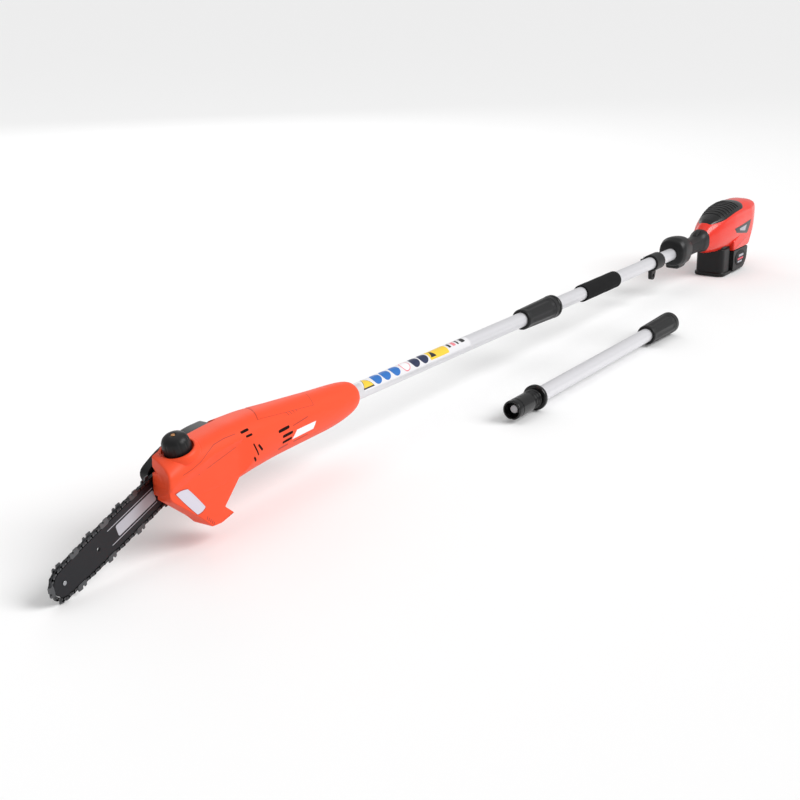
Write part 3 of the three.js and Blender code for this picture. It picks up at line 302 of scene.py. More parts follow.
PANEL_YELLOW = Finish("printed_yellow", (0.86, 0.58, 0.035), 0.4, shade=0.95)
PANEL_BLUE = Finish("printed_blue", (0.012, 0.15, 0.50), 0.4, shade=0.9)
PANEL_NAVY = Finish("printed_navy", (0.008, 0.018, 0.07), 0.4, shade=0.9)
PANEL_RED = Finish("printed_red", (0.68, 0.06, 0.10), 0.4, shade=0.95)
PANEL_PINK = Finish("printed_pink", (0.80, 0.22, 0.26), 0.4, shade=0.95)
PANEL_BLACK = Finish("printed_black", (0.012, 0.012, 0.014), 0.4, shade=0.9)
FLOOR = Finish("pale_floor", (0.93, 0.93, 0.93), 0.75, shade=0.995, spread=0.0, specular=0.2)

FRAME_FINISHES: dict[Slot, Finish] = {
    Slot.ORANGE: ORANGE,
    Slot.CRIMSON: CRIMSON,
    Slot.BLACK: BLACK,
    Slot.GREY: GREY,
    Slot.RUBBER: RUBBER,
    Slot.FOAM: FOAM,
    Slot.LENS: LENS,
    Slot.TANK: TANK,
    Slot.TUBE: TUBE,
    Slot.BAR: BAR,
    Slot.CHAIN: CHAIN,
    Slot.STEEL: STEEL,
    Slot.BRASS: BRASS,
    Slot.CASTING: CASTING,
    Slot.IRON: IRON,
    Slot.BOARD: BOARD,
}


# ---------------------------------------------------------------- places


@dataclass(frozen=True)
class Axes:
    """A sub-assembly's own frame: an origin in the part's frame and three directions.

    The columns of turn are the directions of its x, y and z axes.
    """

    origin: Points
    turn: Points = field(default_factory=lambda: np.eye(3))

    def place(self, points: Points) -> Points:
        """Turns points about the origin, moves them there and gives them in metres."""
        return (np.asarray(points, float) @ self.turn.T + self.origin) * MM

    def within(self, offset: Sequence[float], tilt: float = 0.0) -> Axes:
        """A frame inside this one, tilted about y so that its x axis rises.

        Args:
            offset: Its origin in this frame.
            tilt: Its rise in radians.

        Returns:
            The new frame.
        """
        c, s = math.cos(tilt), math.sin(tilt)
        lean = np.array([[c, 0.0, -s], [0.0, 1.0, 0.0], [s, 0.0, c]])
        return Axes(self.origin + self.turn @ np.asarray(offset, float), self.turn @ lean)


# ---------------------------------------------------------------- surfaces


def smooth_curve(x: Points, y: Points, at: Points) -> Points:
    """A curve through points that never overshoots them.

    Each span is a cubic whose end slopes are the harmonic mean of the slopes on both sides, or
    flat where the sides run opposite ways.

    Args:
        x: Rising positions.
        y: Values there.
        at: Where the curve is wanted.

    Returns:
        The values at those places.
    """
    step = np.diff(x)
    slope = np.diff(y) / step
    before, after = slope[:-1], slope[1:]
    same = before * after > 0
    total = np.where(same, before + after, 1.0)
    inner = np.where(same, 2.0 * before * after / total, 0.0)
    lean = np.concatenate([slope[:1], inner, slope[-1:]])
    k = np.clip(np.searchsorted(x, at, side="right") - 1, 0, len(x) - 2)
    t = (at - x[k]) / step[k]
    return (
        (1 + 2 * t) * (1 - t) ** 2 * y[k]
        + t * (1 - t) ** 2 * step[k] * lean[k]
        + t * t * (3 - 2 * t) * y[k + 1]
        + t * t * (t - 1) * step[k] * lean[k + 1]
    )


@dataclass(frozen=True)
class Loft:
    """A body along x whose sections are rounded rectangles.

    Each station is x, half width, top, bottom and squareness p. A section is every y and z with
    |y / half width| ** p + |(z - middle) / half height| ** p = 1.
    """

    stations: tuple[tuple[float, float, float, float, float], ...]

    def sizes(self, x: Points) -> tuple[Points, Points, Points, Points]:
        """Half width, middle, half height and squareness at each x."""
        table = np.array(self.stations)
        half, top, bottom, power = (
            smooth_curve(table[:, 0], table[:, k], np.asarray(x, float)) for k in range(1, 5)
        )
        return half, (top + bottom) / 2, (top - bottom) / 2, power

    def surface(self, x: Points, turn: Points, lift: float | Points = 0.0) -> Points:
        """Points on the surface.

        A point at an angle has its cosine and sine raised to 2 / p, keeping their signs, times
        the half width and the half height, each grown by the lift.

        Args:
            x: Positions along the body, one for each row or one for each point.
            turn: Angles round it, 0 on its right side and a quarter turn at its top, one for
                each column or one for each point.
            lift: How far outside the surface the points lie.

        Returns:
            An array of rows by columns by 3.
        """
        rows = len(x)
        half, middle, height, power = (v.reshape(rows, -1) for v in self.sizes(x.ravel()))
        c, s = np.cos(np.atleast_2d(turn)), np.sin(np.atleast_2d(turn))
        y = (half + lift) * np.sign(c) * np.abs(c) ** (2 / power)
        z = middle + (height + lift) * np.sign(s) * np.abs(s) ** (2 / power)
        return np.stack([np.broadcast_to(x.reshape(rows, -1), y.shape), y, z], axis=-1)

    def left_side(self, x: Points, z: Points) -> Points:
        """The y of the left side at each x and z, from the section's equation."""
        half, middle, height, power = self.sizes(x)
        rise = np.clip(np.abs((z - middle) / height), 0.0, 0.999)
        return -half * (1.0 - rise**power) ** (1.0 / power)


def wrapped_grid(rows: int, columns: int) -> Faces:
    """Faces of a grid whose columns close on themselves, and whose rows stay open."""
    row, column = np.meshgrid(np.arange(rows - 1), np.arange(columns), indexing="ij")
    after = (column + 1) % columns
    quads = np.stack(
        [row * columns + column, row * columns + after, (row + 1) * columns + after,
         (row + 1) * columns + column],
        axis=-1,
    )
    return quads.reshape(-1, 4).tolist()


def capped(surface: Points) -> tuple[Points, Faces]:
    """A closed body from a grid wrapped round its columns, with a flat face on each end.

    Args:
        surface: An array of rows by columns by 3, its rings turning anticlockwise seen from the
            far end.

    Returns:
        Its points and faces.
    """
    rows, columns = surface.shape[:2]
    faces = [face[::-1] for face in wrapped_grid(rows, columns)]
    faces.append(list(range(columns)))
    faces.append(list(range((rows - 1) * columns, rows * columns))[::-1])
    return surface.reshape(-1, 3), faces


def ringed(surface: Points) -> tuple[Points, Faces]:
    """A closed ring from a grid whose rows and columns both close on themselves."""
    rows, columns = surface.shape[:2]
    looped = np.concatenate([surface, surface[:1]])
    faces = np.array(wrapped_grid(rows + 1, columns))
    return looped[:rows].reshape(-1, 3), (faces % (rows * columns))[:, ::-1].tolist()


def rings_about_x(x: Points, radius: Points, turn: Points) -> Points:
    """Rings about x: y is the radius times the cosine and z the radius times the sine.

    Args:
        x: Where each ring is.
        radius: The radius of each ring, or of each of its points.
        turn: The angle of each point on a ring.

    Returns:
        An array of rings by points by 3.
    """
    y, z = radius * np.cos(turn), radius * np.sin(turn)
    return np.stack([np.broadcast_to(x[:, None], y.shape), y, z], axis=-1)


def turned(profile: Sequence[tuple[float, float]], sides: int = 64) -> tuple[Points, Faces]:
    """A body turned about x from a profile of x and radius.

    Each profile point becomes a ring about x. A profile that ends on the axis is capped, and any
    other closes on itself.

    Args:
        profile: Pairs of x and radius.
        sides: Points round each ring.

    Returns:
        Its points and faces.
    """
    table = np.array(profile, float)
    turn = np.linspace(0, 2 * np.pi, sides, endpoint=False)
    rings = rings_about_x(table[:, 0], table[:, 1:], turn)
    on_axis = 1e-6
    if table[0, 1] < on_axis:
        return capped(rings[1:-1] if table[-1, 1] < on_axis else rings[1:])
    return ringed(rings)


def rounded_outline(corners: Sequence[tuple[float, float, float]], steps: int = 7) -> Points:
    """A closed outline with rounded corners, anticlockwise.

    Each corner is the curve (1 - t)^2 a + 2 t (1 - t) b + t^2 c between the points at its radius
    along both edges. Long straight edges are cut into even steps, so that shading stays local.

    Args:
        corners: The a, b and radius of each corner.
        steps: Points on each rounded corner.

    Returns:
        An array of points by 2.
    """
    table = np.array(corners, float)
    here = table[:, :2]
    before, after = np.roll(here, 1, axis=0) - here, np.roll(here, -1, axis=0) - here
    radius = np.maximum(table[:, 2:], 0.01)
    enter = here + before / np.linalg.norm(before, axis=1, keepdims=True) * radius
    leave = here + after / np.linalg.norm(after, axis=1, keepdims=True) * radius
    t = np.linspace(0, 1, steps)[None, :, None]
    curve = (
        (1 - t) ** 2 * enter[:, None] + 2 * t * (1 - t) * here[:, None] + t**2 * leave[:, None]
    ).reshape(-1, 2)
    following = np.roll(curve, -1, axis=0)
    area = np.sum(curve[:, 0] * following[:, 1] - following[:, 0] * curve[:, 1])
    longest_step = 5.0
    steps_on = np.ceil(np.linalg.norm(following - curve, axis=1) / longest_step).astype(int)
    steps_on = np.maximum(steps_on, 1)
    edge = np.repeat(np.arange(len(curve)), steps_on)
    share = (np.arange(len(edge)) - (np.cumsum(steps_on) - steps_on)[edge]) / steps_on[edge]
    fine = curve[edge] + share[:, None] * (following - curve)[edge]
    return fine if area > 0 else fine[::-1]


def pillow(outline: Points, low: float, high: float, round_low: float, round_high: float,
           ) -> tuple[Points, Faces]:
    """An outline in x and z with a thickness along y and rounded rims.

    The rings step inwards along the outline's own normals by r (1 - sin a) and along y by
    r (1 - cos a), for a quarter turn at each rim. Where the outline bends tighter than r, the
    step inwards shrinks to 0.8 of the bend's own radius, so that no ring folds.

    Args:
        outline: Points of x and z, anticlockwise.
        low: The lower y.
        high: The higher y.
        round_low: The rim radius at the lower y.
        round_high: The rim radius at the higher y.

    Returns:
        Its points and faces.
    """
    along = np.roll(outline, -1, axis=0) - np.roll(outline, 1, axis=0)
    along /= np.maximum(np.linalg.norm(along, axis=1, keepdims=True), 1e-9)
    inward = np.stack([-along[:, 1], along[:, 0]], axis=-1)
    turn = np.linspace(0, np.pi / 2, 6)
    ahead, behind = np.roll(outline, -1, axis=0) - outline, outline - np.roll(outline, 1, axis=0)
    bend = behind[:, 0] * ahead[:, 1] - behind[:, 1] * ahead[:, 0]
    reach = np.linalg.norm(ahead, axis=1) * np.linalg.norm(behind, axis=1)
    size = (np.linalg.norm(ahead, axis=1) + np.linalg.norm(behind, axis=1)) / 2
    angle = np.arcsin(np.clip(bend / np.maximum(reach, 1e-9), 0.0, 1.0))
    room = 0.8 * size / np.maximum(angle, 1e-3)
    for _ in range(3):
        room = np.minimum(room, np.minimum(np.roll(room, 1), np.roll(room, -1)) + size)
    step_in = np.concatenate([
        np.minimum(round_low, room)[None, :] * (1 - np.sin(turn))[:, None],
        np.minimum(round_high, room)[None, :] * (1 - np.sin(turn[::-1]))[:, None],
    ])
    level = np.concatenate(
        [low + round_low * (1 - np.cos(turn)), high - round_high * (1 - np.cos(turn[::-1]))]
    )
    rings = outline[None] + step_in[..., None] * inward[None]
    y = np.broadcast_to(level[:, None], rings.shape[:2])
    surface = np.stack([rings[..., 0], y, rings[..., 1]], axis=-1)
    return capped(surface[:, ::-1])


def tile(top: Points, depth: Points) -> tuple[Points, Faces]:
    """A thin closed tile from a grid of points and the way down to its underside.

    Args:
        top: An array of rows by columns by 3.
        depth: The step from the top to the underside.

    Returns:
        Its points and faces.
    """
    rows, columns = top.shape[:2]
    points = np.concatenate([top.reshape(-1, 3), (top + depth).reshape(-1, 3)])
    row, column = np.meshgrid(np.arange(rows - 1), np.arange(columns - 1), indexing="ij")
    a = (row * columns + column).ravel()
    upper = np.stack([a, a + 1, a + columns + 1, a + columns], axis=-1)
    count = rows * columns
    border = np.concatenate([
        np.arange(columns), np.arange(2, rows + 1) * columns - 1,
        (rows - 1) * columns + np.arange(columns - 2, -1, -1),
        np.arange(rows - 2, 0, -1) * columns,
    ])
    ahead = np.roll(border, -1)
    sides = np.stack([ahead, border, border + count, ahead + count], axis=-1)
    return points, np.concatenate([upper, upper[:, ::-1] + count, sides]).tolist()


def unit_patch(rows: int, columns: int, roundness: float) -> tuple[Points, Points]:
    """A grid from -1 to 1 pressed towards a disc.

    Each coordinate is s sqrt(1 - k t^2 / 2), with k from 0 for a square to 1 for a disc.
    """
    s, t = np.meshgrid(np.linspace(-1, 1, rows), np.linspace(-1, 1, columns), indexing="ij")
    return s * np.sqrt(1 - roundness * t * t / 2), t * np.sqrt(1 - roundness * s * s / 2)


def between_corners(quad: Points, s: Points, t: Points) -> Points:
    """Places between four corners: each corner's share is a product of s or 1 - s and t or 1 - t."""
    shares = ((1 - s) * (1 - t), s * (1 - t), s * t, (1 - s) * t)
    return sum(share[..., None] * corner for share, corner in zip(shares, quad))


# ---------------------------------------------------------------- workshop


class Workshop:
    """Puts points and faces into meshes, dresses them and fixes them to the frame."""

    def __init__(self) -> None:
        """Loads the frame and makes the shared grain."""
        self.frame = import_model()
        self.cad_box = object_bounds()
        self.grain = GrainGroup()
        self.made: list[bpy.types.Object] = []

    def piece(
        self,
        name: str,
        shape: tuple[Points, Faces],
        axes: Axes,
        finish: Finish,
        body: str,
        replaces: Sequence[str] = (),
        sharp: float = 38.0,
    ) -> bpy.types.Object:
        """Makes one piece of the saw.

        Args:
            name: The piece's name.
            shape: Its points in millimetres, and its faces.
            axes: The frame that the points are in.
            finish: Its finish.
            body: The CAD body that it rides on.
            replaces: CAD nodes that it stands for.
            sharp: Edges that bend more than this many degrees stay sharp.

        Returns:
            The new object.
        """
        points, faces = shape
        mesh = bpy.data.meshes.new(name)
        mesh.from_pydata(axes.place(points).tolist(), [], faces)
        mesh.validate()
        mesh.update()
        self._face_outwards(mesh)
        mesh.shade_smooth()
        mesh.set_sharp_from_angle(angle=math.radians(sharp))
        made = bpy.data.objects.new(name, mesh)
        bpy.context.scene.collection.objects.link(made)
        made.data.materials.append(finish.material(self.grain))
        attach(made, body)
        if replaces:
            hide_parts(*replaces)
        self.made.append(made)
        LOG.info("%s: %d faces on %s", name, len(mesh.polygons), body)
        return made

    @staticmethod
    def _face_outwards(mesh: bpy.types.Mesh) -> None:
        """Merges doubled points and turns every face outwards."""
        work = bmesh.new()
        work.from_mesh(mesh)
        bmesh.ops.remove_doubles(work, verts=work.verts, dist=1e-6)
        bmesh.ops.recalc_face_normals(work, faces=work.faces)
        work.to_mesh(mesh)
        work.free()

    def softened(self, node: str, finish: Finish, rim: float = 0.5,
                 sharp: float = 32.0) -> bpy.types.Object:
        """Stands a copy of a CAD node in for it, with its rims rounded and its curves smooth.

        Args:
            node: The CAD node.
            finish: Its finish.
            rim: The width of the rounded rims in millimetres.
            sharp: Edges that bend more than this many degrees are rims.

        Returns:
            The new object.
        """
        source = self.frame["nodes"][node]
        mesh = bpy.data.meshes.new(f"{node}_shown")
        work = bmesh.new()
        work.from_mesh(source.data)
        bmesh.ops.remove_doubles(work, verts=work.verts, dist=2e-6)
        bmesh.ops.dissolve_limit(
            work, angle_limit=math.radians(1.0), verts=work.verts, edges=work.edges
        )
        work.to_mesh(mesh)
        work.free()
        mesh.materials.clear()
        mesh.materials.append(finish.material(self.grain))
        mesh.shade_smooth()
        mesh.set_sharp_from_angle(angle=math.radians(sharp))
        made = bpy.data.objects.new(f"{node}_shown", mesh)
        bpy.context.scene.collection.objects.link(made)
        if rim > 0.0:
            bevel = made.modifiers.new("rim", "BEVEL")
            bevel.width = rim * MM
            bevel.segments = 2
            bevel.limit_method = "ANGLE"
            bevel.angle_limit = math.radians(sharp)
            bevel.use_clamp_overlap = True
        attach(made, source["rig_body"])
        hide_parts(node)
        self.made.append(made)
        return made

    def dress_frame(self) -> None:
        """Gives every CAD node the finish of its slot in the record."""
        for entry in self.frame["record"]["subparts"]:
            node = self.frame["nodes"][entry["node"]]
            finish = FRAME_FINISHES[Slot(entry["material_slot"])]
            node.data.materials.clear()
            node.data.materials.append(finish.material(self.grain))
        LOG.info("dressed %d frame nodes", len(self.frame["nodes"]))

    def centre(self, node: str) -> Points:
        """The middle of a CAD node's box, in millimetres."""
        low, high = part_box(node)
        return np.array((low + high) / 2) / MM


@dataclass(frozen=True)
class Stroke:
    """A short straight mark on a side: its two ends, its width and its lift off the surface."""

    name: str
    start: tuple[float, float]
    end: tuple[float, float]
    width: float
    lift: float
    finish: Finish
    roundness: float = 0.35


# ---------------------------------------------------------------- motor head


@dataclass
class MotorHead:
    """The orange head: its casing, claw, oil window and cap, and the marks on its left side."""

    length: float = 456.0
    exit: float = -12.0
    face_left: float = 31.0
    gear_face: float = 10.5
    gear_back: float = -308.0
    slant: float = math.radians(22.0)
    face_inset: float = 6.0
    cap_at: tuple[float, float, float] = (-409.0, -11.0, 33.0)
    tilt: float = math.radians(20.0)
    cap_radius: float = 18.5
    loft: Loft = Loft((
        (-456.0, 28.0, 13.0, -10.0, 3.0),
        (-446.0, 33.5, 21.0, -18.0, 3.0),
        (-425.0, 36.0, 29.0, -28.0, 3.0),
        (-395.0, 36.5, 34.0, -38.0, 3.0),
        (-350.0, 37.0, 38.5, -41.0, 2.8),
        (-310.0, 37.0, 41.0, -40.0, 2.6),
        (-271.0, 36.7, 41.0, -37.0, 2.4),
        (-218.0, 34.6, 38.0, -35.0, 2.2),
        (-160.0, 32.0, 34.0, -34.5, 2.1),
        (-100.0, 29.7, 29.5, -34.0, 2.0),
        (-68.0, 28.2, 27.4, -32.0, 2.0),
        (-42.0, 25.8, 25.2, -28.4, 2.0),
        (-26.0, 23.2, 22.8, -24.6, 2.0),
        (-18.0, 20.6, 20.4, -21.2, 2.0),
        (-13.5, 17.4, 17.4, -17.6, 2.0),
        (-12.0, 14.6, 14.6, -14.6, 2.0),
    ))

    def build(self, shop: Workshop, pole: Axes) -> None:
        """Makes the whole head.

        Args:
            shop: The workshop.
            pole: The pole's frame.
        """
        self._casing(shop, pole)
        self._claw(shop, pole)
        self._cap(shop, pole)
        self._side_marks(shop, pole)
        self._top_marks(shop, pole)
        shop.softened("sprocket_cover", BLACK, rim=2.2)
        for node in ("bar_nut", "bar_stud", "tension_screw"):
            shop.softened(node, STEEL, rim=0.4)
        self._cover_ribs(shop, pole)

    def _flat_panel(self, x: Points, y: Points, z: Points) -> Points:
        """Flattens the lower left side of the gear end, under the seam.

        The side may not pass a limit that runs from the claw's face, below the panel's upper
        edge, to the full width above the seam. It fades out behind the gear end.

        Args:
            x: Places along the head.
            y: The side's places before.
            z: Heights.

        Returns:
            The side's places after.
        """
        edge_at, edge_height, edge_slope = -395.0, -2.0, 0.199
        fade_at, fade_length = -318.0, 40.0
        stand_off, fullness = 0.1, 6.0
        edge = edge_height + edge_slope * (x - edge_at)
        seam = smooth_curve(
            np.array([-456.0, -429.0, -394.0, -362.0, -318.0, -270.0]),
            np.array([8.0, 9.0, 16.0, 28.5, 30.5, 31.0]), x,
        )
        share = np.clip((z - edge) / np.maximum(seam - edge, 4.0), 0.0, 1.0)
        fade = np.clip((x - fade_at) / fade_length, 0.0, 1.0)
        full = np.maximum(share, fade * fade * (3 - 2 * fade))
        return np.maximum(y, -self.face_left - stand_off - fullness * full)

    def _casing(self, shop: Workshop, pole: Axes) -> None:
        """The tapered shell, cut flat in front and beside the gears, with a seat for the cap.

        A point ahead of the slanted face moves back to it, blended over a millimetre by
        k ln(1 + exp(d / k)). A point beyond the gear face moves in to it. A point over the cap's
        seat drops to the seat's floor.
        """
        x = np.concatenate([
            np.linspace(-self.length, self.gear_back - 1.0, 110),
            np.linspace(self.gear_back, self.exit, 130),
        ])
        turn = np.linspace(0, 2 * np.pi, 160, endpoint=False)
        grid = self.loft.surface(x, turn)
        front = self._front_at(grid[..., 1])
        blend = 1.2
        ahead = (grid[..., 0] - front) / blend
        grid[..., 0] = front + blend * np.logaddexp(0.0, ahead)
        grid[..., 1] = self._flat_panel(grid[..., 0], grid[..., 1], grid[..., 2])
        beside = grid[..., 0] < self.gear_back - 0.5
        grid[..., 1] = np.where(beside, np.minimum(grid[..., 1], self.gear_face), grid[..., 1])
        grid = self._seat(grid)
        shop.piece(
            "head_casing", capped(grid), pole, ORANGE, "head",
            replaces=("casing_left", "casing_right"),
        )

    def _seat(self, grid: Points) -> Points:
        """Presses the casing down under the oil cap, in the cap's own tilted frame."""
        cap = Axes(np.array(self.cap_at)).within((0, 0, 0), self.tilt)
        local = (grid - cap.origin) @ cap.turn
        out = np.hypot(local[..., 0], local[..., 1])
        floor, reach = -3.2, self.cap_radius + 3.5
        low = (out < reach) & (local[..., 2] > floor) & (grid[..., 2] > 0)
        local[..., 2] = np.where(low, floor, local[..., 2])
        return local @ cap.turn.T + cap.origin

    def _claw(self, shop: Workshop, pole: Axes) -> None:
        """The claw plate, the belly on its right, the oil window in a rim of painted shade, and the
        ridges under the claw, with painted shade in their notches.
        """
        claw = rounded_outline([
            (-449, 8, 3), (-449, -19, 9), (-386, -66, 5), (-371, -80, 3), (-352, -81, 3),
            (-326, -75, 3.5), (-344, -61, 2), (-309, -26, 4), (-290, 0, 4), (-300, 12, 3),
        ])
        front = self._front_cut
        shape = pillow(claw, -self.face_left, 0.0, 1.6, 1.0)
        shop.piece("claw_plate", (front(shape[0]), shape[1]), pole, ORANGE, "head")
        belly = rounded_outline([
            (-438, 6, 3), (-438, -12, 9), (-386, -57, 6), (-352, -57, 6), (-318, -26, 4),
            (-299, -2, 4), (-306, 8, 3),
        ])
        shape = pillow(belly, -2.6, self.gear_face, 1.0, 3.0)
        shop.piece("belly_plate", (front(shape[0]), shape[1]), pole, ORANGE, "head")
        left = -self.face_left
        window = np.array([(-441, -12.5), (-417, -12.5), (-382.5, -49), (-399, -55)], float)
        middle = window.mean(axis=0)
        s, t = unit_patch(25, 17, 0.3)
        # The rim round the lens is a ring of painted shade in the darker orange.
        for name, finish, slot, lift, grow in (
            ("window_shade_rim", ORANGE_PAINTED_SHADE, Slot.ORANGE, 0.1, 1.07),
            ("window_lens", LENS, Slot.LENS, 0.45, 1.0),
        ):
            quad = middle + grow * (window - middle)
            flat = between_corners(quad, (t + 1) / 2, (s + 1) / 2)
            top = self._on_left(flat[..., 0], flat[..., 1], lift)
            shop.piece(name, tile(top, np.array([0.0, 1.5, 0.0])), pole, finish, "head",
                       replaces=("oil_window",) if slot is Slot.LENS else ())
        # The notches under the claw are painted shade: thin darker orange pieces just proud of the
        # plate.
        for k in range(5):
            x, z = -382.0 + 3.2 * k, -65.4 - 2.9 * k
            notch = rounded_outline([(x - 0.9, z - 0.2, 0.3), (x + 0.9, z - 1.6, 0.3),
                                     (x + 2.6, z + 2.6, 0.3), (x + 1.2, z + 3.4, 0.3)])
            shop.piece(
                f"claw_notch_{k + 1}", pillow(notch, left - 0.12, left + 1, 0.1, 0.1), pole,
                ORANGE_PAINTED_SHADE, "head",
            )

    def _front_cut(self, points: Points) -> Points:
        """Moves points ahead of the slanted front face back to it."""
        cut = points.copy()
        cut[:, 0] = np.maximum(cut[:, 0], self._front_at(cut[:, 1]))
        return cut

    def _front_at(self, y: Points) -> Points:
        """Where the slanted front face is at each y."""
        return self.face_inset - self.length + math.tan(self.slant) * (y + self.face_left)

    def _cap(self, shop: Workshop, pole: Axes) -> None:
        """The domed oil cap with its shallow flutes, and the orange boss that it sits in."""
        up = pole.within(self.cap_at, self.tilt)
        axes = Axes(up.origin, up.turn @ np.array([[0, 0, -1], [0, 1, 0], [1, 0, 0]], float))
        seat = self.cap_radius + 2.5
        boss = [(-9.0, seat), (-9.0, seat + 6.5), (-2.0, seat + 5.4), (0.2, seat + 4.2),
                (1.3, seat + 2.6), (1.5, seat + 1.0), (1.1, seat + 0.2), (0.0, seat)]
        shop.piece("cap_boss", turned(boss, 96), axes, ORANGE, "head", sharp=50)
        table = np.array([
            (-2.5, 0.0), (-2.5, 17.4), (-1.5, 18.5), (1.0, 18.6), (10.0, 18.2), (14.0, 17.4),
            (16.8, 16.0), (19.0, 13.8), (20.6, 11.2), (21.5, 8.6), (21.9, 5.8), (22.0, 3.4),
            (21.6, 3.0), (20.2, 2.9), (20.0, 0.0),
        ])
        turn = np.linspace(0, 2 * np.pi, 144, endpoint=False)
        flutes, deepest, middle, spread = 12, 0.9, 9.0, 6.5
        flute = 0.5 + 0.5 * np.cos(flutes * turn)
        depth = deepest * np.exp(-(((table[:, 0] - middle) / spread) ** 2))
        radius = np.maximum(table[:, 1:] - depth[:, None] * flute[None, :] ** 6, 0.0)
        rings = rings_about_x(table[:, 0], radius, turn)
        shop.piece(
            "cap_dome", capped(rings[1:-1]), axes, BLACK, "cap",
            replaces=("oil_cap",), sharp=50,
        )
        shop.softened("cap_screw", BRASS, rim=0.3)

    def _on_left(self, x: Points, z: Points, lift: float) -> Points:
        """Points on the head's left side: the further out of the shell and the claw plate."""
        y = self._flat_panel(x, self.loft.left_side(x, z), z)
        plate_end, edge_at, edge_height, edge_slope = -292.0, -309.0, 12.0, 0.2
        flat = (z < edge_height + edge_slope * (x - edge_at)) & (x < plate_end)
        y = np.where(flat, np.minimum(y, -self.face_left), y)
        return np.stack([x, y - lift, z], axis=-1)

    def stroke(self, shop: Workshop, pole: Axes, mark: Stroke) -> None:
        """Makes a mark that follows the left side.

        The mark's grid runs s along the line between its ends and t across it.
        """
        a, b = np.array(mark.start, float), np.array(mark.end, float)
        along = (b - a) / 2
        across = np.array([-along[1], along[0]]) / np.linalg.norm(along) * mark.width / 2
        s, t = unit_patch(13, 5, mark.roundness)
        flat = (a + b) / 2 + s[..., None] * along + t[..., None] * across
        top = self._on_left(flat[..., 0], flat[..., 1], mark.lift)
        crown = 0.4 * max(mark.lift, 0.0) * (1 - t**2)
        top[..., 1] -= crown
        shape = tile(top, np.array([0.0, 1.2 + mark.lift, 0.0]))
        shop.piece(mark.name, shape, pole, mark.finish, "head", sharp=60)

    def _side_marks(self, shop: Workshop, pole: Axes) -> None:
        """The vents, slots, ribs, seam and plain label on the left side. The slots and vents are dark
        sheets of painted shade; the ribs, seam and panel edge are lines of painted shade in the
        darker orange.
        """
        gap = 0.12
        # The slots and vents are dark sheets of painted shade; the lowest vent, the ribs and the
        # panel's edge are painted shade in the darker orange.
        marks = [
            Stroke("slot_upper", (-308, 29), (-291, 29.5), 3.0, gap, SHADOW),
            Stroke("slot_lower", (-301, 22.5), (-288, 22.5), 2.8, gap, SHADOW),
            Stroke("slot_rising", (-289, 10), (-279, -9), 2.2, gap, SHADOW),
            Stroke("slot_falling", (-279.5, 6), (-271, -4), 3.4, gap, SHADOW),
            Stroke("slot_tick", (-288.5, -9), (-283.5, -16), 3.2, gap, SHADOW),
            Stroke("vent_1", (-233, 10), (-207, 10.5), 4.4, gap, SHADOW),
            Stroke("vent_2", (-224, 0.5), (-200, 1), 4.2, gap, SHADOW),
            Stroke("vent_3", (-224, -8), (-202, -7), 3.8, gap, SHADOW),
            Stroke("vent_4", (-232, -15.5), (-209, -14.5), 2.8, gap, ORANGE_PAINTED_SHADE),
            Stroke("rib_above_label", (-199, 9), (-160, 11.5), 1.6, gap, ORANGE_PAINTED_SHADE),
            Stroke("rib_below_label", (-196, -15), (-160, -14.5), 1.6, gap, ORANGE_PAINTED_SHADE),
            Stroke("panel_edge", (-396, -2), (-318, 13.5), 1.0, gap, ORANGE_PAINTED_SHADE),
        ]
        # The seam and the shoulder ribs are lines of painted shade in the darker orange.
        seam = [(-429, 9), (-411, 11.5), (-394, 16), (-378, 23), (-362, 28.5), (-340, 30.5),
                (-318, 30.5)]
        marks += [
            Stroke(f"seam_{k + 1}", start, end, 0.9, gap, ORANGE_PAINTED_SHADE, 0.0)
            for k, (start, end) in enumerate(zip(seam, seam[1:]))
        ]
        marks += [
            Stroke(f"shoulder_rib_{k + 1}", (-204 + 7 * k, 30), (-199 + 7 * k, 23), 1.3, gap,
                   ORANGE_PAINTED_SHADE)
            for k in range(4)
        ]
        for mark in marks:
            self.stroke(shop, pole, mark)
        s, t = np.meshgrid(np.linspace(0, 1, 25), np.linspace(0, 1, 7), indexing="ij")
        corners = np.array([(-201, -10), (-149, -9.5), (-143, 0.5), (-190, 1)], float)
        flat = between_corners(corners, s, t)
        top = self._on_left(flat[..., 0], flat[..., 1], 0.25)
        shop.piece(
            "side_label", tile(top, np.array([0.0, 1.2, 0.0])), pole, PANEL_WHITE, "head",
        )

    def _top_marks(self, shop: Workshop, pole: Axes) -> None:
        """The panel on top of the motor, in the plain orange, inside a rim of painted shade in the
        darker orange.

        Its corners are given along the head and by their angle, so it wraps over the shoulder.
        """
        s, t = np.meshgrid(np.linspace(0, 1, 61), np.linspace(0, 1, 25), indexing="ij")
        near = (-265.0, math.radians(128.0)), (-138.0, math.radians(140.0))
        far = (-240.0, math.radians(66.0)), (-128.0, math.radians(96.0))
        x = (1 - t) * (near[0][0] + s * (near[1][0] - near[0][0])) + t * (
            far[0][0] + s * (far[1][0] - far[0][0]))
        turn = (1 - t) * (near[0][1] + s * (near[1][1] - near[0][1])) + t * (
            far[0][1] + s * (far[1][1] - far[0][1]))
        # The rim is painted shade in the darker orange, round the plain orange panel.
        for name, finish, lift, grow in (("panel_shade_rim", ORANGE_PAINTED_SHADE, 0.12, 1.0),
                                         ("top_panel", ORANGE, 0.4, 0.955)):
            mid_x, mid_turn = x.mean(), turn.mean()
            at = mid_x + (0.5 + grow / 2) * (x - mid_x)
            angle = mid_turn + grow * (turn - mid_turn)
            top = self.loft.surface(at, angle, lift)
            shop.piece(name, tile(top, np.array([0.0, 0.0, -1.5])), pole, finish, "head")

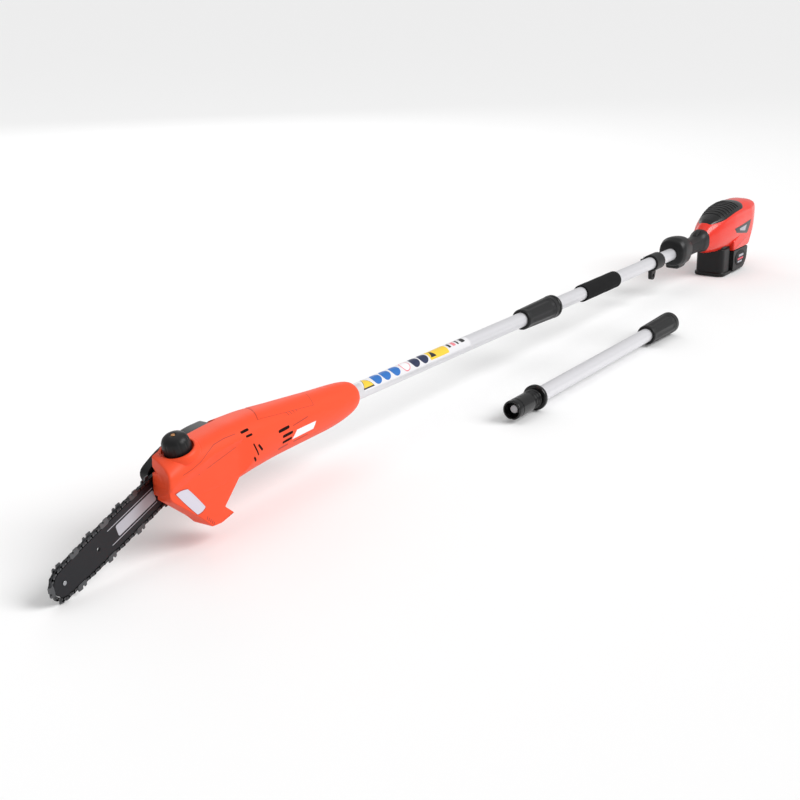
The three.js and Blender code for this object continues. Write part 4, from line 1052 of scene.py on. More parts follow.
    def _cover_ribs(self, shop: Workshop, pole: Axes) -> None:
        """The four upright ribs on the outside of the sprocket cover, each 2 higher than the last."""
        first, pitch, half, corner = -372.0, 13.0, 2, 1.8
        face, crest = 32.0, 34.4
        for k in range(4):
            x, low, high = first + pitch * k, -22 + 2 * k, 17 + 2 * k
            rib = rounded_outline([(x - half, low, corner), (x + half, low, corner),
                                   (x + half, high, corner), (x - half, high, corner)])
            shop.piece(
                f"cover_rib_{k + 1}", pillow(rib, face, crest, 0.2, 1.2), pole, BLACK, "head",
            )


# ---------------------------------------------------------------- bar and chain


@dataclass
class CuttingSet:
    """The guide bar and the saw chain round it, in the bar's own tilted frame."""

    sprocket_at: tuple[float, float, float] = (-350.0, 15.0, 2.5)
    tilt: float = math.radians(20.0)
    nose: float = 256.0
    half_width: float = 20.0
    nose_radius: float = 17.0
    stud_at: float = 48.0
    sprocket_radius: float = 19.0
    gap: float = 0.3
    thickness: float = 4.0

    def loop(self, height: float, points: int = 720) -> tuple[Points, Points, float]:
        """The chain's closed line at a height above the rail.

        It joins two parabolas along each side of the bar with a half circle round the nose and
        one round the sprocket, then shares points out evenly by its length.

        Args:
            height: Above the bar's rail.
            points: How many points.

        Returns:
            The points, the directions along the line, and its length.
        """
        t = np.linspace(0, 1, 60)[:, None]

        def bend(a: Points, b: Points, c: Points) -> Points:
            """The curve (1 - t)^2 a + 2 t (1 - t) b + t^2 c."""
            return (1 - t) ** 2 * a + 2 * t * (1 - t) * b + t**2 * c

        r = self.sprocket_radius + self.gap + height
        half, nose = self.half_width + self.gap + height, self.nose_radius + self.gap + height
        mid, far = -0.45 * self.nose, -0.85 * self.nose
        upper = np.concatenate([
            bend(np.array([0, r]), np.array([-self.stud_at, half]), np.array([mid, half])),
            bend(np.array([mid, half]), np.array([far, half]), np.array([-self.nose, nose])),
        ])
        turn = np.linspace(np.pi / 2, 3 * np.pi / 2, 90)
        tip = np.stack([-self.nose + nose * np.cos(turn), nose * np.sin(turn)], axis=-1)
        back = np.stack([r * np.cos(turn + np.pi), r * np.sin(turn + np.pi)], axis=-1)
        lower = upper[::-1] * np.array([1.0, -1.0])
        line = np.concatenate([upper, tip[1:-1], lower, back[1:-1]])
        closed = np.concatenate([line, line[:1]])
        length = np.concatenate([[0], np.cumsum(np.linalg.norm(np.diff(closed, axis=0), axis=1))])
        at = np.linspace(0, length[-1], points, endpoint=False)
        even = np.stack([np.interp(at, length, closed[:, k]) for k in range(2)], axis=-1)
        along = np.roll(even, -1, axis=0) - np.roll(even, 1, axis=0)
        return even, along / np.linalg.norm(along, axis=1, keepdims=True), float(length[-1])

    @staticmethod
    def _plates(
        outline: Points, low: float, high: float, centres: Points, along: Points
    ) -> tuple[Points, Faces]:
        """One flat plate repeated along the chain.

        A plate's own (a, b) lies a along the line and b outwards from it, so each copy is its
        centre plus a times the direction plus b times the outward normal.

        Args:
            outline: The plate's a and b.
            low: Its lower y.
            high: Its higher y.
            centres: Where each copy goes.
            along: Each copy's direction.

        Returns:
            The points and faces of all copies.
        """
        outward = np.stack([along[:, 1], -along[:, 0]], axis=-1)
        flat = (
            centres[:, None]
            + outline[None, :, :1] * along[:, None]
            + outline[None, :, 1:] * outward[:, None]
        )
        n, m = flat.shape[:2]
        both = np.stack([
            np.stack([flat[..., 0], np.full((n, m), y), flat[..., 1]], axis=-1)
            for y in (low, high)
        ], axis=1)
        points = both.reshape(-1, 3)
        ring = np.arange(m)
        side = np.stack([ring, np.roll(ring, -1), np.roll(ring, -1) + m, ring + m], axis=-1)
        faces: Faces = []
        for start in (np.arange(n) * 2 * m).tolist():
            faces += (side + start).tolist()
            faces.append((ring[::-1] + start).tolist())
            faces.append((ring + m + start).tolist())
        return points, faces

    def build(self, shop: Workshop, pole: Axes) -> None:
        """Makes the bar and the chain.

        Args:
            shop: The workshop.
            pole: The pole's frame.
        """
        axes = pole.within(self.sprocket_at, self.tilt)
        shop.softened("guide_bar", BAR, rim=0.35)
        for node in ("nose_rivet", "tension_pin"):
            shop.softened(node, STEEL, rim=0.25)
        self._bar_print(shop, axes)
        self._chain(shop, axes)

    def _bar_print(self, shop: Workshop, axes: Axes) -> None:
        """The plain pale panel and pinstripes printed on both sides of the bar."""
        face = self.thickness / 2
        for side, name in ((-1.0, "left"), (1.0, "right")):
            low, high = sorted((side * (face - 0.5), side * (face + 0.06)))
            panel = rounded_outline([(-158, -8, 3), (-84, -8, 3), (-84, 8, 3), (-158, 8, 3)])
            shop.piece(f"bar_panel_{name}", pillow(panel, low, high, 0.02, 0.02), axes,
                       PANEL_GREY, "bar")
            for k in range(2):
                z = -11.2 + 22.4 * k
                stripe = rounded_outline([(-172, z - 0.5, 0.4), (-84, z - 0.5, 0.4),
                                          (-84, z + 0.5, 0.4), (-172, z + 0.5, 0.4)])
                shop.piece(f"bar_stripe_{name}_{k + 1}", pillow(stripe, low, high, 0.02, 0.02),
                           axes, PANEL_GREY, "bar")

    def _chain(self, shop: Workshop, axes: Axes) -> None:
        """The chain: drive links in the middle, tie straps outside them, and cutters.

        Straps sit half a pitch from the drive links. Every third pair of straps has a cutter on
        the left or on the right in turn, with its depth gauge ahead of its tooth.
        """
        rivet_height, fineness, pitch = 2.6, 7200, 9.32
        line, along, length = self.loop(rivet_height, fineness)
        drives = int(round(length / pitch))
        place = np.arange(drives) * len(line) / drives
        at = place.astype(int) % len(line)
        between = (place + len(line) / drives / 2).astype(int) % len(line)
        tang = np.array([(-4.4, -1.4), (-1.6, -1.9), (0.0, -2.3), (2.0, -1.9), (4.4, -1.4),
                         (4.6, 1.4), (2.2, 2.3), (-2.2, 2.3), (-4.6, 1.4)])
        strap = np.array([(-7.2, -1.4), (-5.4, -2.6), (-2.0, -1.7), (2.0, -1.7), (5.4, -2.6),
                          (7.2, -1.4), (7.2, 1.2), (5.0, 2.7), (2.0, 2.1), (-2.0, 2.1),
                          (-5.0, 2.7), (-7.2, 1.2)])
        cutter = np.array([(-7.2, -1.4), (-5.0, -2.6), (5.0, -2.6), (7.2, -1.4), (7.4, 2.2),
                           (6.2, 5.0), (3.4, 5.4), (2.6, 2.4), (0.4, 2.4), (-0.8, 6.0),
                           (-7.4, 5.4), (-7.0, 2.4)])
        shop.piece("chain_drive_links", self._plates(tang, -0.65, 0.65, line[at], along[at]),
                   axes, CHAIN, "bar", replaces=("saw_chain",), sharp=30)
        order = np.arange(drives)
        for name, low, high, wide, first in (
            ("left", -2.1, -0.75, (-2.7, -0.75), 0), ("right", 0.75, 2.1, (0.75, 2.7), 3),
        ):
            cut = order % 6 == first
            plain, toothed = between[~cut], between[cut]
            shop.piece(f"chain_straps_{name}",
                       self._plates(strap, low, high, line[plain], along[plain]), axes, CHAIN,
                       "bar", sharp=30)
            shop.piece(f"chain_cutters_{name}",
                       self._plates(cutter, *wide, line[toothed], along[toothed]), axes, CUTTER,
                       "bar", sharp=30)
        radius, reach = 1.35, 2.45
        for name, shift in (("ahead", 0.27), ("behind", -0.27)):
            spots = (place + (0.5 + shift) * len(line) / drives).astype(int) % len(line)
            turn = np.linspace(0, 2 * np.pi, 8, endpoint=False)
            rivet = radius * np.stack([np.cos(turn), np.sin(turn)], axis=-1)
            shop.piece(f"chain_rivets_{name}",
                       self._plates(rivet, -reach, reach, line[spots], along[spots]), axes,
                       CUTTER, "bar", sharp=30)


# ---------------------------------------------------------------- pole


@dataclass
class PoleSection:
    """What the pole and the loose extension share: tubes, collars and plugs."""

    tube_radius: float = 13.0
    tube_wall: float = 1.6
    collar_length: float = 115.0
    collar_front: float = 18.6
    collar_rear: float = 20.8
    flats: int = 10
    flat_depth: float = 0.075
    nose_radius: float = 16.4
    nose_length: float = 54.0
    thread_length: float = 24.0
    flange_radius: float = 21.5
    flange_length: float = 8.0
    clearance: float = 0.3
    bore_clearance: float = 0.9
    sleeve_bore: float = 16.6

    @property
    def flange_at(self) -> float:
        """How far behind the front of its nose a plug's flange starts."""
        return self.nose_length + self.thread_length + self.clearance

    @staticmethod
    def ends(pole: Axes, node: str) -> tuple[float, float]:
        """Where a CAD tube starts and ends along the pole."""
        low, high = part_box(node)
        return float(low.x) / MM - pole.origin[0], float(high.x) / MM - pole.origin[0]

    def tube(self, shop: Workshop, axes: Axes, node: str, body: str, start: float,
             end: float) -> None:
        """A smooth tube between two places.

        Args:
            shop: The workshop.
            axes: The section's frame.
            node: The CAD tube that it stands for.
            body: The CAD body that it rides on.
            start: Where it starts.
            end: Where it ends.
        """
        r, inner = self.tube_radius, self.tube_radius - self.tube_wall
        profile = [(start, inner), (start, r - 0.2), (start + 0.2, r), (end - 0.2, r),
                   (end, r - 0.2), (end, inner)]
        shop.piece(f"{node}_shown", turned(profile, 96), axes, TUBE, body,
                   replaces=(node,))

    def collar(self, shop: Workshop, axes: Axes, node: str, body: str, start: float) -> None:
        """The twist collar: a taper with soft flats, grip grooves, and a round band at its end.

        The radius is R / (1 + f (cos(n a) + 1) / 2), so that it dips n times round the grip, and
        the dips fade out towards both ends.

        Args:
            shop: The workshop.
            axes: The section's frame.
            node: The CAD collar that it stands for.
            body: The CAD body that it rides on.
            start: Where it starts.
        """
        end = start + self.collar_length
        x = np.concatenate([
            [start, start, start + 0.6, start + 1.6],
            np.linspace(start + 3, end - 17, 46),
            [end - 16, end - 15.4, end - 14.6, end - 14, end - 13, end - 1.2, end - 0.3, end],
        ])
        share = np.clip((x - start) / (self.collar_length - 14), 0, 1)
        radius = self.collar_front + (self.collar_rear - self.collar_front) * share
        front_bore = self.tube_radius + self.bore_clearance
        radius[:4] = [front_bore, radius[1] - 1.6, radius[2] - 0.8, radius[3] - 0.2]
        radius[-8:] = self.collar_rear + np.array([0, -0.1, -0.9, -0.9, 0, 0, -0.3, -1.0])
        turn = np.linspace(0, 2 * np.pi, 160, endpoint=False)
        fade = np.clip((x - start - 4) / 10, 0, 1) * np.clip((end - 18 - x) / 8, 0, 1)
        dip = self.flat_depth * fade[:, None] * (np.cos(self.flats * turn)[None, :] + 1) / 2
        rings_r = radius[:, None] / (1 + dip)
        outer = rings_about_x(x, rings_r, turn)
        bore = self.nose_radius + 0.6
        step, wall = end - 60, start + 7
        inner_profile = np.array([(end, bore), (step, bore), (step, self.sleeve_bore),
                                  (wall, self.sleeve_bore), (wall, front_bore)])
        inner = rings_about_x(inner_profile[:, 0], inner_profile[:, 1:], turn)
        shop.piece(f"{node}_shown", ringed(np.concatenate([outer, inner])), axes, BLACK, body,
                   replaces=(node,), sharp=35)

    def plug(self, shop: Workshop, axes: Axes, node: str, body: str, flange: float) -> None:
        """The plug: a hollow nose with a key groove, three threads and a flange.

        Args:
            shop: The workshop.
            axes: The section's frame.
            node: The CAD plug that it stands for.
            body: The CAD body that it rides on.
            flange: Where its flange starts.
        """
        r = self.nose_radius
        nose = flange - self.flange_at
        threads = flange - self.thread_length
        pitch = self.thread_length / 3
        ridges = [
            point
            for k in range(3)
            for point in (
                (threads + (k + 0.15) * pitch, r - 1.6), (threads + (k + 0.32) * pitch, r - 0.25),
                (threads + (k + 0.42) * pitch, r), (threads + (k + 0.52) * pitch, r - 0.25),
                (threads + (k + 0.7) * pitch, r - 1.6),
            )
        ]
        end = flange + self.flange_length
        tube_bore = self.tube_radius + self.clearance
        profile = np.array([
            (nose + 20, 8.8), (nose + 20, r - 3), (nose + 0.4, r - 3), (nose, r - 2.4),
            (nose, r - 1.2), (nose + 0.5, r - 0.5), (nose + 1.5, r - 0.2), (nose + 12, r - 0.2),
            (nose + 12.4, r - 1.0), (nose + 14.6, r - 1.0), (nose + 15, r - 0.2),
            (threads - 2, r - 0.2), (threads - 1, r - 1.0), *ridges, (flange, r - 1.0),
            (flange, self.flange_radius - 1.2), (flange + 0.4, self.flange_radius - 0.4),
            (flange + 1.2, self.flange_radius), (end - 1.4, self.flange_radius),
            (end - 0.4, self.flange_radius - 0.4), (end, self.flange_radius - 1.2),
            (end, tube_bore), (nose + 28, tube_bore), (nose + 28, 8.8),
        ])
        turn = np.linspace(0, 2 * np.pi, 120, endpoint=False)
        x = profile[:, :1]
        on_nose = (x > nose - 0.1) & (x < threads - 6) & (profile[:, 1:] > r - 2.0)
        key = np.exp(-(((turn - 1.5 * np.pi) / 0.16) ** 2))[None, :]
        radius = profile[:, 1:] - np.where(on_nose, 1.3 * key, 0.0)
        rings = rings_about_x(profile[:, 0], radius, turn)
        shop.piece(f"{node}_shown", ringed(rings), axes, BLACK_GLOSS, body,
                   replaces=(node,), sharp=35)


@dataclass
class FrontPole(PoleSection):
    """The front half of the pole, with its row of plain coloured markers."""

    marker_turn: float = math.radians(116.0)
    collar_at: float = 524.0

    def build(self, shop: Workshop, pole: Axes) -> None:
        """Makes the front tube, the collar and the markers."""
        self.tube(shop, pole, "front_tube", "head", *self.ends(pole, "front_tube"))
        self.collar(shop, pole, "pole_collar", "collar", self.collar_at)
        self._markers(shop, pole)

    def _wrap(self, x: Points, across: Points, lift: float) -> Points:
        """Wraps flat places round the tube: the angle is the marker's turn plus across / r."""
        r = self.tube_radius + lift
        turn = self.marker_turn + across / self.tube_radius
        return np.stack([x, r * np.cos(turn), r * np.sin(turn)], axis=-1)

    def _marker(self, shop: Workshop, pole: Axes, name: str, middle: tuple[float, float],
                half: tuple[float, float], roundness: float, finish: Finish,
                lift: float, taper: float = 0.0) -> None:
        """One marker, from a square to a disc, or narrowing to a point.

        Args:
            shop: The workshop.
            pole: The pole's frame.
            name: The marker's name.
            middle: Its place along and round the tube.
            half: Half its length and half its width.
            roundness: 0 for a rectangle and 1 for a disc.
            finish: Its colour.
            lift: Its height above the tube.
            taper: How much its upper edge narrows.
        """
        s, t = unit_patch(17, 13, roundness)
        narrow = 1 - taper * (t + 1) / 2
        x = middle[0] + s * half[0] * narrow
        across = middle[1] - t * half[1]
        top = self._wrap(x, across, lift)
        under = self._wrap(x, across, -0.3) - top
        shop.piece(name, tile(top, under), pole, finish, "head")

    def _markers(self, shop: Workshop, pole: Axes) -> None:
        """Plain shapes in the places of the pole's stickers, with no signs or words on them."""
        def disc(name: str, x: float, finish: Finish, lift: float, size: float = 11.2) -> None:
            """A round marker."""
            self._marker(shop, pole, name, (x, 0.0), (size, size * 0.98), 1.0, finish, lift)

        self._marker(shop, pole, "marker_strip", (165.0, 0.0), (158.0, 13.0), 0.0,
                     PANEL_CLEAR, 0.05)
        self._marker(shop, pole, "marker_wedge_edge", (20.0, 0.0), (14.5, 10.6), 0.0,
                     PANEL_BLACK, 0.09, taper=0.9)
        self._marker(shop, pole, "marker_wedge", (20.0, -0.4), (12.4, 8.8), 0.0, PANEL_YELLOW,
                     0.13, taper=0.92)
        for k, x in enumerate((48.0, 73.0, 100.0)):
            disc(f"marker_blue_{k + 1}", x, PANEL_BLUE, 0.09)
        disc("marker_red", 129.0, PANEL_PINK, 0.09)
        disc("marker_red_centre", 129.0, PANEL_WHITE, 0.13, 9.2)
        for k, x in enumerate((157.0, 182.5)):
            disc(f"marker_navy_{k + 1}", x, PANEL_NAVY, 0.09)
        self._marker(shop, pole, "marker_plate", (226.0, 0.0), (29.0, 10.0), 0.1, PANEL_YELLOW,
                     0.1)
        self._marker(shop, pole, "marker_plate_wedge", (209.0, -0.5), (8.0, 6.6), 0.0,
                     PANEL_BLACK, 0.14, taper=0.9)
        for k, (x, finish, size) in enumerate((
            (264.0, PANEL_BLACK, 3.4), (278.0, PANEL_PINK, 4.6), (290.0, PANEL_BLACK, 2.4),
            (306.0, PANEL_BLACK, 6.0),
        )):
            self._marker(shop, pole, f"marker_block_{k + 1}", (x, -2.0), (size, 5.0), 0.2,
                         finish, 0.1)


@dataclass
class RearPole(PoleSection):
    """The rear half of the pole, with its plug, foam grip and strap clamp."""

    flange: float = 639.3
    foam_at: float = 768.3
    foam_length: float = 151.0
    foam_radius: float = 16.5

    def build(self, shop: Workshop, pole: Axes) -> None:
        """Makes the rear tube, its plug, the foam and the clamp."""
        self.tube(shop, pole, "rear_tube", "handle", *self.ends(pole, "rear_tube"))
        self.plug(shop, pole, "pole_plug", "handle", self.flange)
        self._foam(shop, pole)
        shop.softened("strap_clamp", BLACK, rim=0.8)
        shop.softened("clamp_screw", STEEL, rim=0.3)

    def _foam(self, shop: Workshop, pole: Axes) -> None:
        """The foam sleeve, soft at its rims and very slightly uneven along its length.

        Its radius is r + 0.12 sin(x / 9 + 2 sin a), so no two places round it match.
        """
        bore, soft, uneven = self.tube_radius + self.clearance, 1.6, 0.12
        end = self.foam_at + self.foam_length
        rim = np.linspace(0, np.pi / 2, 6)
        x = np.concatenate([
            [self.foam_at], self.foam_at + soft * (1 - np.cos(rim)),
            np.linspace(self.foam_at + 3, end - 3, 60),
            end - soft * (1 - np.cos(rim[::-1])), [end],
        ])
        radius = np.full(len(x), self.foam_radius)
        radius[1:7] += soft * (np.sin(rim) - 1)
        radius[-7:-1] += soft * (np.sin(rim[::-1]) - 1)
        radius[0] = radius[-1] = bore
        turn = np.linspace(0, 2 * np.pi, 72, endpoint=False)
        wave = uneven * np.sin(x[:, None] / 9 + 2 * np.sin(turn)[None, :])
        wave[:8] = wave[-8:] = 0.0
        rings_r = radius[:, None] + wave
        shop.piece("foam_sleeve", ringed(rings_about_x(x, rings_r, turn)), pole, FOAM, "handle",
                   replaces=("foam_grip",))


@dataclass
class LooseExtension(PoleSection):
    """The pole extension that lies beside the saw, with a plug and a collar of its own."""

    visible_tube: float = 452.0
    tube_at: float = 28.5
    tube_in_collar: float = 26.0

    def axes(self, shop: Workshop) -> Axes:
        """Its frame: from the middle of its plug's box towards the middle of its collar's."""
        plug, collar = shop.centre("extension_plug"), shop.centre("extension_collar")
        along = (collar - plug) / np.linalg.norm(collar - plug)
        plug_half = (self.flange_at + self.flange_length) / 2
        side = np.array([0.0, 1.0, 0.0])
        turn = np.stack([along, side, np.cross(along, side)], axis=-1)
        return Axes(plug - along * plug_half, turn)

    def build(self, shop: Workshop) -> None:
        """Makes the extension's tube, plug, collar and the pale face of its contacts."""
        axes = self.axes(shop)
        collar = self.flange_at + self.flange_length + self.visible_tube
        self.tube(shop, axes, "extension_tube", "extension", self.tube_at,
                  collar + self.tube_in_collar)
        self.plug(shop, axes, "extension_plug", "extension", self.flange_at)
        self.collar(shop, axes, "extension_collar", "extension_twist", collar)
        face = [(7.5, 0.0), (7.5, 5.8), (7.9, 6.4), (12.3, 6.4), (12.7, 6.0), (13.0, 0.0)]
        shop.piece("plug_contact_face", turned(face, 48), axes, PALE_GREY, "extension")


# ---------------------------------------------------------------- handle and battery


@dataclass
class RearHandle:
    """The guard and grip at the rear of the pole, with the trigger and the lock lever."""

    guard: float = 1211.3
    grip: float = 1295.3
    housing: float = 1383.3

    @property
    def loft(self) -> Loft:
        """The guard and the grip as one body."""
        g, r, h = self.guard, self.grip, self.housing
        return Loft((
            (g, 22.0, 23.0, -20.0, 2.4), (g + 2, 26.0, 28.0, -23.5, 2.4),
            (g + 5, 28.0, 31.0, -25.0, 2.4), (g + 18, 30.5, 35.0, -28.0, 2.5),
            (g + 48, 28.5, 33.0, -28.0, 2.5), (g + 70, 20.0, 25.0, -24.0, 2.4),
            (r, 18.0, 19.0, -20.0, 2.3), (r + 30, 17.0, 17.0, -18.5, 2.3),
            (r + 58, 18.0, 19.5, -19.0, 2.3), (h - 12, 21.0, 26.0, -22.0, 2.4),
            (h - 0.3, 22.5, 28.0, -23.0, 2.4),
        ))

    def build(self, shop: Workshop, pole: Axes) -> None:
        """Makes the guard, the grip and what is on them."""
        x = np.concatenate([np.linspace(self.guard, self.guard + 6, 14),
                            np.linspace(self.guard + 7, self.housing - 0.3, 150)])
        turn = np.linspace(0, 2 * np.pi, 120, endpoint=False)
        shop.piece("grip_body", capped(self.loft.surface(x, turn)), pole, BLACK, "handle",
                   replaces=("grip_left", "grip_right"))
        shield = rounded_outline([
            (self.guard + 8, -16, 2), (self.guard + 11, -33, 5), (self.guard + 46, -33, 7),
            (self.guard + 60, -26, 7), (self.guard + 78, -16, 2),
        ])
        shop.piece("guard_shield", pillow(shield, -15.0, 15.0, 5.0, 5.0), pole, BLACK, "handle")
        for node in ("trigger", "lock_lever"):
            shop.softened(node, BLACK, rim=1.0)
        self._grip_skin(shop, pole)

    def _grip_skin(self, shop: Workshop, pole: Axes) -> None:
        """The textured rubber fields on both sides of the grip."""
        for name, low, high in (("left", math.radians(150), math.radians(212)),
                                ("right", math.radians(-32), math.radians(30))):
            x = np.linspace(self.grip - 2, self.housing - 18, 40)
            turn = np.linspace(low, high, 17)
            edge = np.minimum(1.0, 6 * np.minimum(np.linspace(0, 1, 40), np.linspace(1, 0, 40)))
            over = np.minimum(1.0, 6 * np.minimum(np.linspace(0, 1, 17), np.linspace(1, 0, 17)))
            lift = 0.35 * edge[:, None] * over[None, :] + 0.02
            top = self.loft.surface(x, turn, lift)
            middle = np.stack([top[..., 0], np.zeros_like(top[..., 1]),
                               np.zeros_like(top[..., 1])], axis=-1)
            depth = (middle - top) * 0.04
            shop.piece(f"grip_field_{name}", tile(top, depth), pole, BLACK_TEXTURED, "handle")


@dataclass
class PowerUnit:
    """The crimson rear housing with its vent panel, the black foot and the battery."""

    front: float = 1383.3
    length: float = 268.0
    half: float = 41.0
    foot: float = 1447.3

    @property
    def loft(self) -> Loft:
        """The housing as one body."""
        h, far, half = self.front, self.front + self.length, self.half
        return Loft((
            (h, 19.0, 26.0, -24.0, 2.4), (h + 16, 24.0, 36.0, -28.0, 2.4),
            (h + 44, 31.0, 47.0, -32.0, 2.4), (h + 80, 36.0, 58.0, -35.0, 2.5),
            (h + 126, half - 1, 66.0, -36.0, 2.6), (h + 176, half, 69.0, -36.0, 2.6),
            (far - 46, half, 67.5, -36.0, 2.8), (far - 34, half - 1, 66.5, -35.0, 2.9),
            (far - 28, half - 2, 66.0, -28.0, 2.9), (far - 16, half - 5, 64.5, -2.0, 2.8),
            (far - 4, half - 10, 62.0, 28.0, 2.6), (far, half - 14, 58.0, 36.0, 2.4),
        ))

    def build(self, shop: Workshop, pole: Axes) -> None:
        """Makes the housing, its panels, the foot and the battery."""
        self._housing(shop, pole)
        self._skirt(shop, pole)
        self._vent(shop, pole)
        self._side_recess(shop, pole)
        shop.softened("battery_foot", BLACK, rim=1.0)
        shop.softened("battery_pack", BLACK, rim=2.4)
        shop.softened("battery_latch", BLACK, rim=0.8)
        self._battery_panels(shop, pole)

    def _housing(self, shop: Workshop, pole: Axes) -> None:
        """The crimson shell, with a soft shoulder line along each side.

        The shoulder swells the section by 1.4 exp(-((a - a0) / 0.14)^2) at the angle a0 of the
        line, on both sides alike.
        """
        x = np.concatenate([
            np.linspace(self.front, self.front + self.length - 30, 130),
            np.linspace(self.front + self.length - 29, self.front + self.length, 40),
        ])
        turn = np.linspace(0, 2 * np.pi, 160, endpoint=False)
        along = np.clip((x - self.front - 20) / 60, 0, 1) * np.clip(
            (self.front + self.length - x) / 50, 0, 1
        )
        shoulders, spread, height = np.radians([[146.0], [34.0]]), 0.14, 1.4
        swell = height * np.exp(-(((turn - shoulders) / spread) ** 2)).sum(axis=0)
        lift = along[:, None] * swell[None, :]
        shop.piece("rear_shell", capped(self.loft.surface(x, turn, lift)), pole, CRIMSON,
                   "handle", replaces=("housing_left", "housing_right"))

    def _skirt(self, shop: Workshop, pole: Axes) -> None:
        """The square skirt of the shell over the battery."""
        under = -36.7
        rear = rounded_outline([
            (self.foot + 52, under, 2), (self.foot + 150, under, 8), (self.foot + 172, -6, 10),
            (self.foot + 110, 6, 10), (self.foot + 50, -14, 6),
        ])
        shop.piece("shell_skirt", pillow(rear, -39.5, 39.5, 3.0, 3.0), pole, CRIMSON, "handle")

    def _band(self, x0: float, x1: float, spread: Callable[[Points], Points],
              lift: float, rows: int = 121) -> Points:
        """A band over the top of the housing, whose rims slope down to it.

        Its angle runs the spread to each side of the top.

        Args:
            x0: Where it starts.
            x1: Where it ends.
            spread: Its half angle at each share of its length.
            lift: Its height above the housing.
            rows: Rows of points along it.

        Returns:
            A grid of points.
        """
        s = np.linspace(0, 1, rows)
        x = x0 + (x1 - x0) * s
        half = spread(s)
        across = np.linspace(-1, 1, 41)
        turn = np.pi / 2 + half[:, None] * across[None, :]
        edge = np.clip(6 * (1 - np.abs(across)), 0, 1)[None, :] * np.clip(
            12 * np.minimum(s, 1 - s), 0, 1)[:, None]
        return self.loft.surface(x, turn, lift * edge)

    def _vent(self, shop: Workshop, pole: Axes) -> None:
        """The black panel over the top with its crosswise louvres."""
        def spread(s: Points) -> Points:
            """Narrow in front, widest past the middle, and rounded at both ends."""
            shape = np.interp(s, [0.0, 0.34, 0.9, 1.0], np.radians([30.0, 64.0, 56.0, 42.0]))
            return shape * np.sqrt(np.clip(1 - 0.4 * np.abs(2 * s - 1) ** 24, 0.0, 1))

        start, end = self.front + 22, self.front + 186
        top = self._band(start, end, spread, 1.3)
        shop.piece("vent_cover", tile(top, np.array([0.0, 0.0, -1.2])), pole, BLACK_GLOSS,
                   "handle", replaces=("vent_panel",), sharp=50)
        pitch, width, first = 12.5, 5.0, start + 40
        for k in range(8):
            x = first + pitch * k
            reach = 0.78 * float(spread(np.array([(x - start) / (end - start)]))[0])
            louvre = self._band(x, x + width, lambda s, reach=reach: np.full_like(s, reach), 2.2,
                                rows=13)
            shop.piece(f"vent_louvre_{k + 1}", tile(louvre, np.array([0.0, 0.0, -1.2])), pole,
                       BLACK, "handle", sharp=60)

    def _on_side(self, x: Points, z: Points, lift: float, side: float) -> Points:
        """Points on the housing's left (-1) or right (+1) side."""
        y = -self.loft.left_side(x, z) + lift
        return np.stack([x, side * y, z], axis=-1)

    def _side_recess(self, shop: Workshop, pole: Axes) -> None:
        """The dark outlet near the rear of each side, with a plain pale plate in it."""
        base = self.front
        corners = np.array([(base + 126, 4), (base + 198, -7), (base + 216, 23), (base + 114, 15)],
                           float)
        s, t = np.meshgrid(np.linspace(0, 1, 19), np.linspace(0, 1, 19), indexing="ij")
        middle = corners.mean(axis=0)
        for side, name in ((-1.0, "left"), (1.0, "right")):
            for label, quad, finish, lift in (
                ("outlet", corners, BLACK_GLOSS, 0.35),
                ("outlet_plate", middle + 0.45 * (corners - middle), PANEL_GREY, 0.6),
            ):
                flat = between_corners(quad, s, t)
                top = self._on_side(flat[..., 0], flat[..., 1], lift, side)
                shop.piece(f"{label}_{name}", tile(top, np.array([0.0, -side * 1.4, 0.0])), pole,
                           finish, "handle")

    def _battery_panels(self, shop: Workshop, pole: Axes) -> None:
        """The raised oval field on each side of the battery, with plain printed blocks."""
        middle = (self.foot + 98.0, -60.0)
        face, proud = 39.0, 1.2
        turn = np.linspace(0, 2 * np.pi, 72, endpoint=False)
        half_length, half_height = 33.0, 18.0
        oval = np.stack([middle[0] + half_length * np.cos(turn),
                         middle[1] + half_height * np.sin(turn)], axis=-1)
        for side, name in ((-1.0, "left"), (1.0, "right")):
            low, high = sorted((side * (face - 1), side * (face + proud)))
            rims = (1.1, 0.1) if side < 0 else (0.1, 1.1)
            shop.piece(f"battery_field_{name}", pillow(oval, low, high, *rims), pole,
                       BLACK_TEXTURED, "battery")
            for k, (x, z, w, h, finish) in enumerate((
                (4.0, 6.0, 15.0, 2.6, PANEL_GREY), (0.0, -1.5, 18.0, 2.2, PANEL_RED),
                (-3.0, -8.0, 14.0, 1.8, PANEL_GREY),
            )):
                cx, cz = middle[0] + x, middle[1] + z
                block = rounded_outline([(cx - w, cz - h, 1), (cx + w, cz - h, 1),
                                         (cx + w, cz + h, 1), (cx - w, cz + h, 1)])
                low, high = sorted((side * face, side * (face + 1.3)))
                shop.piece(f"battery_print_{name}_{k + 1}", pillow(block, low, high, 0.05, 0.05),
                           pole, finish, "battery")


# ---------------------------------------------------------------- studio


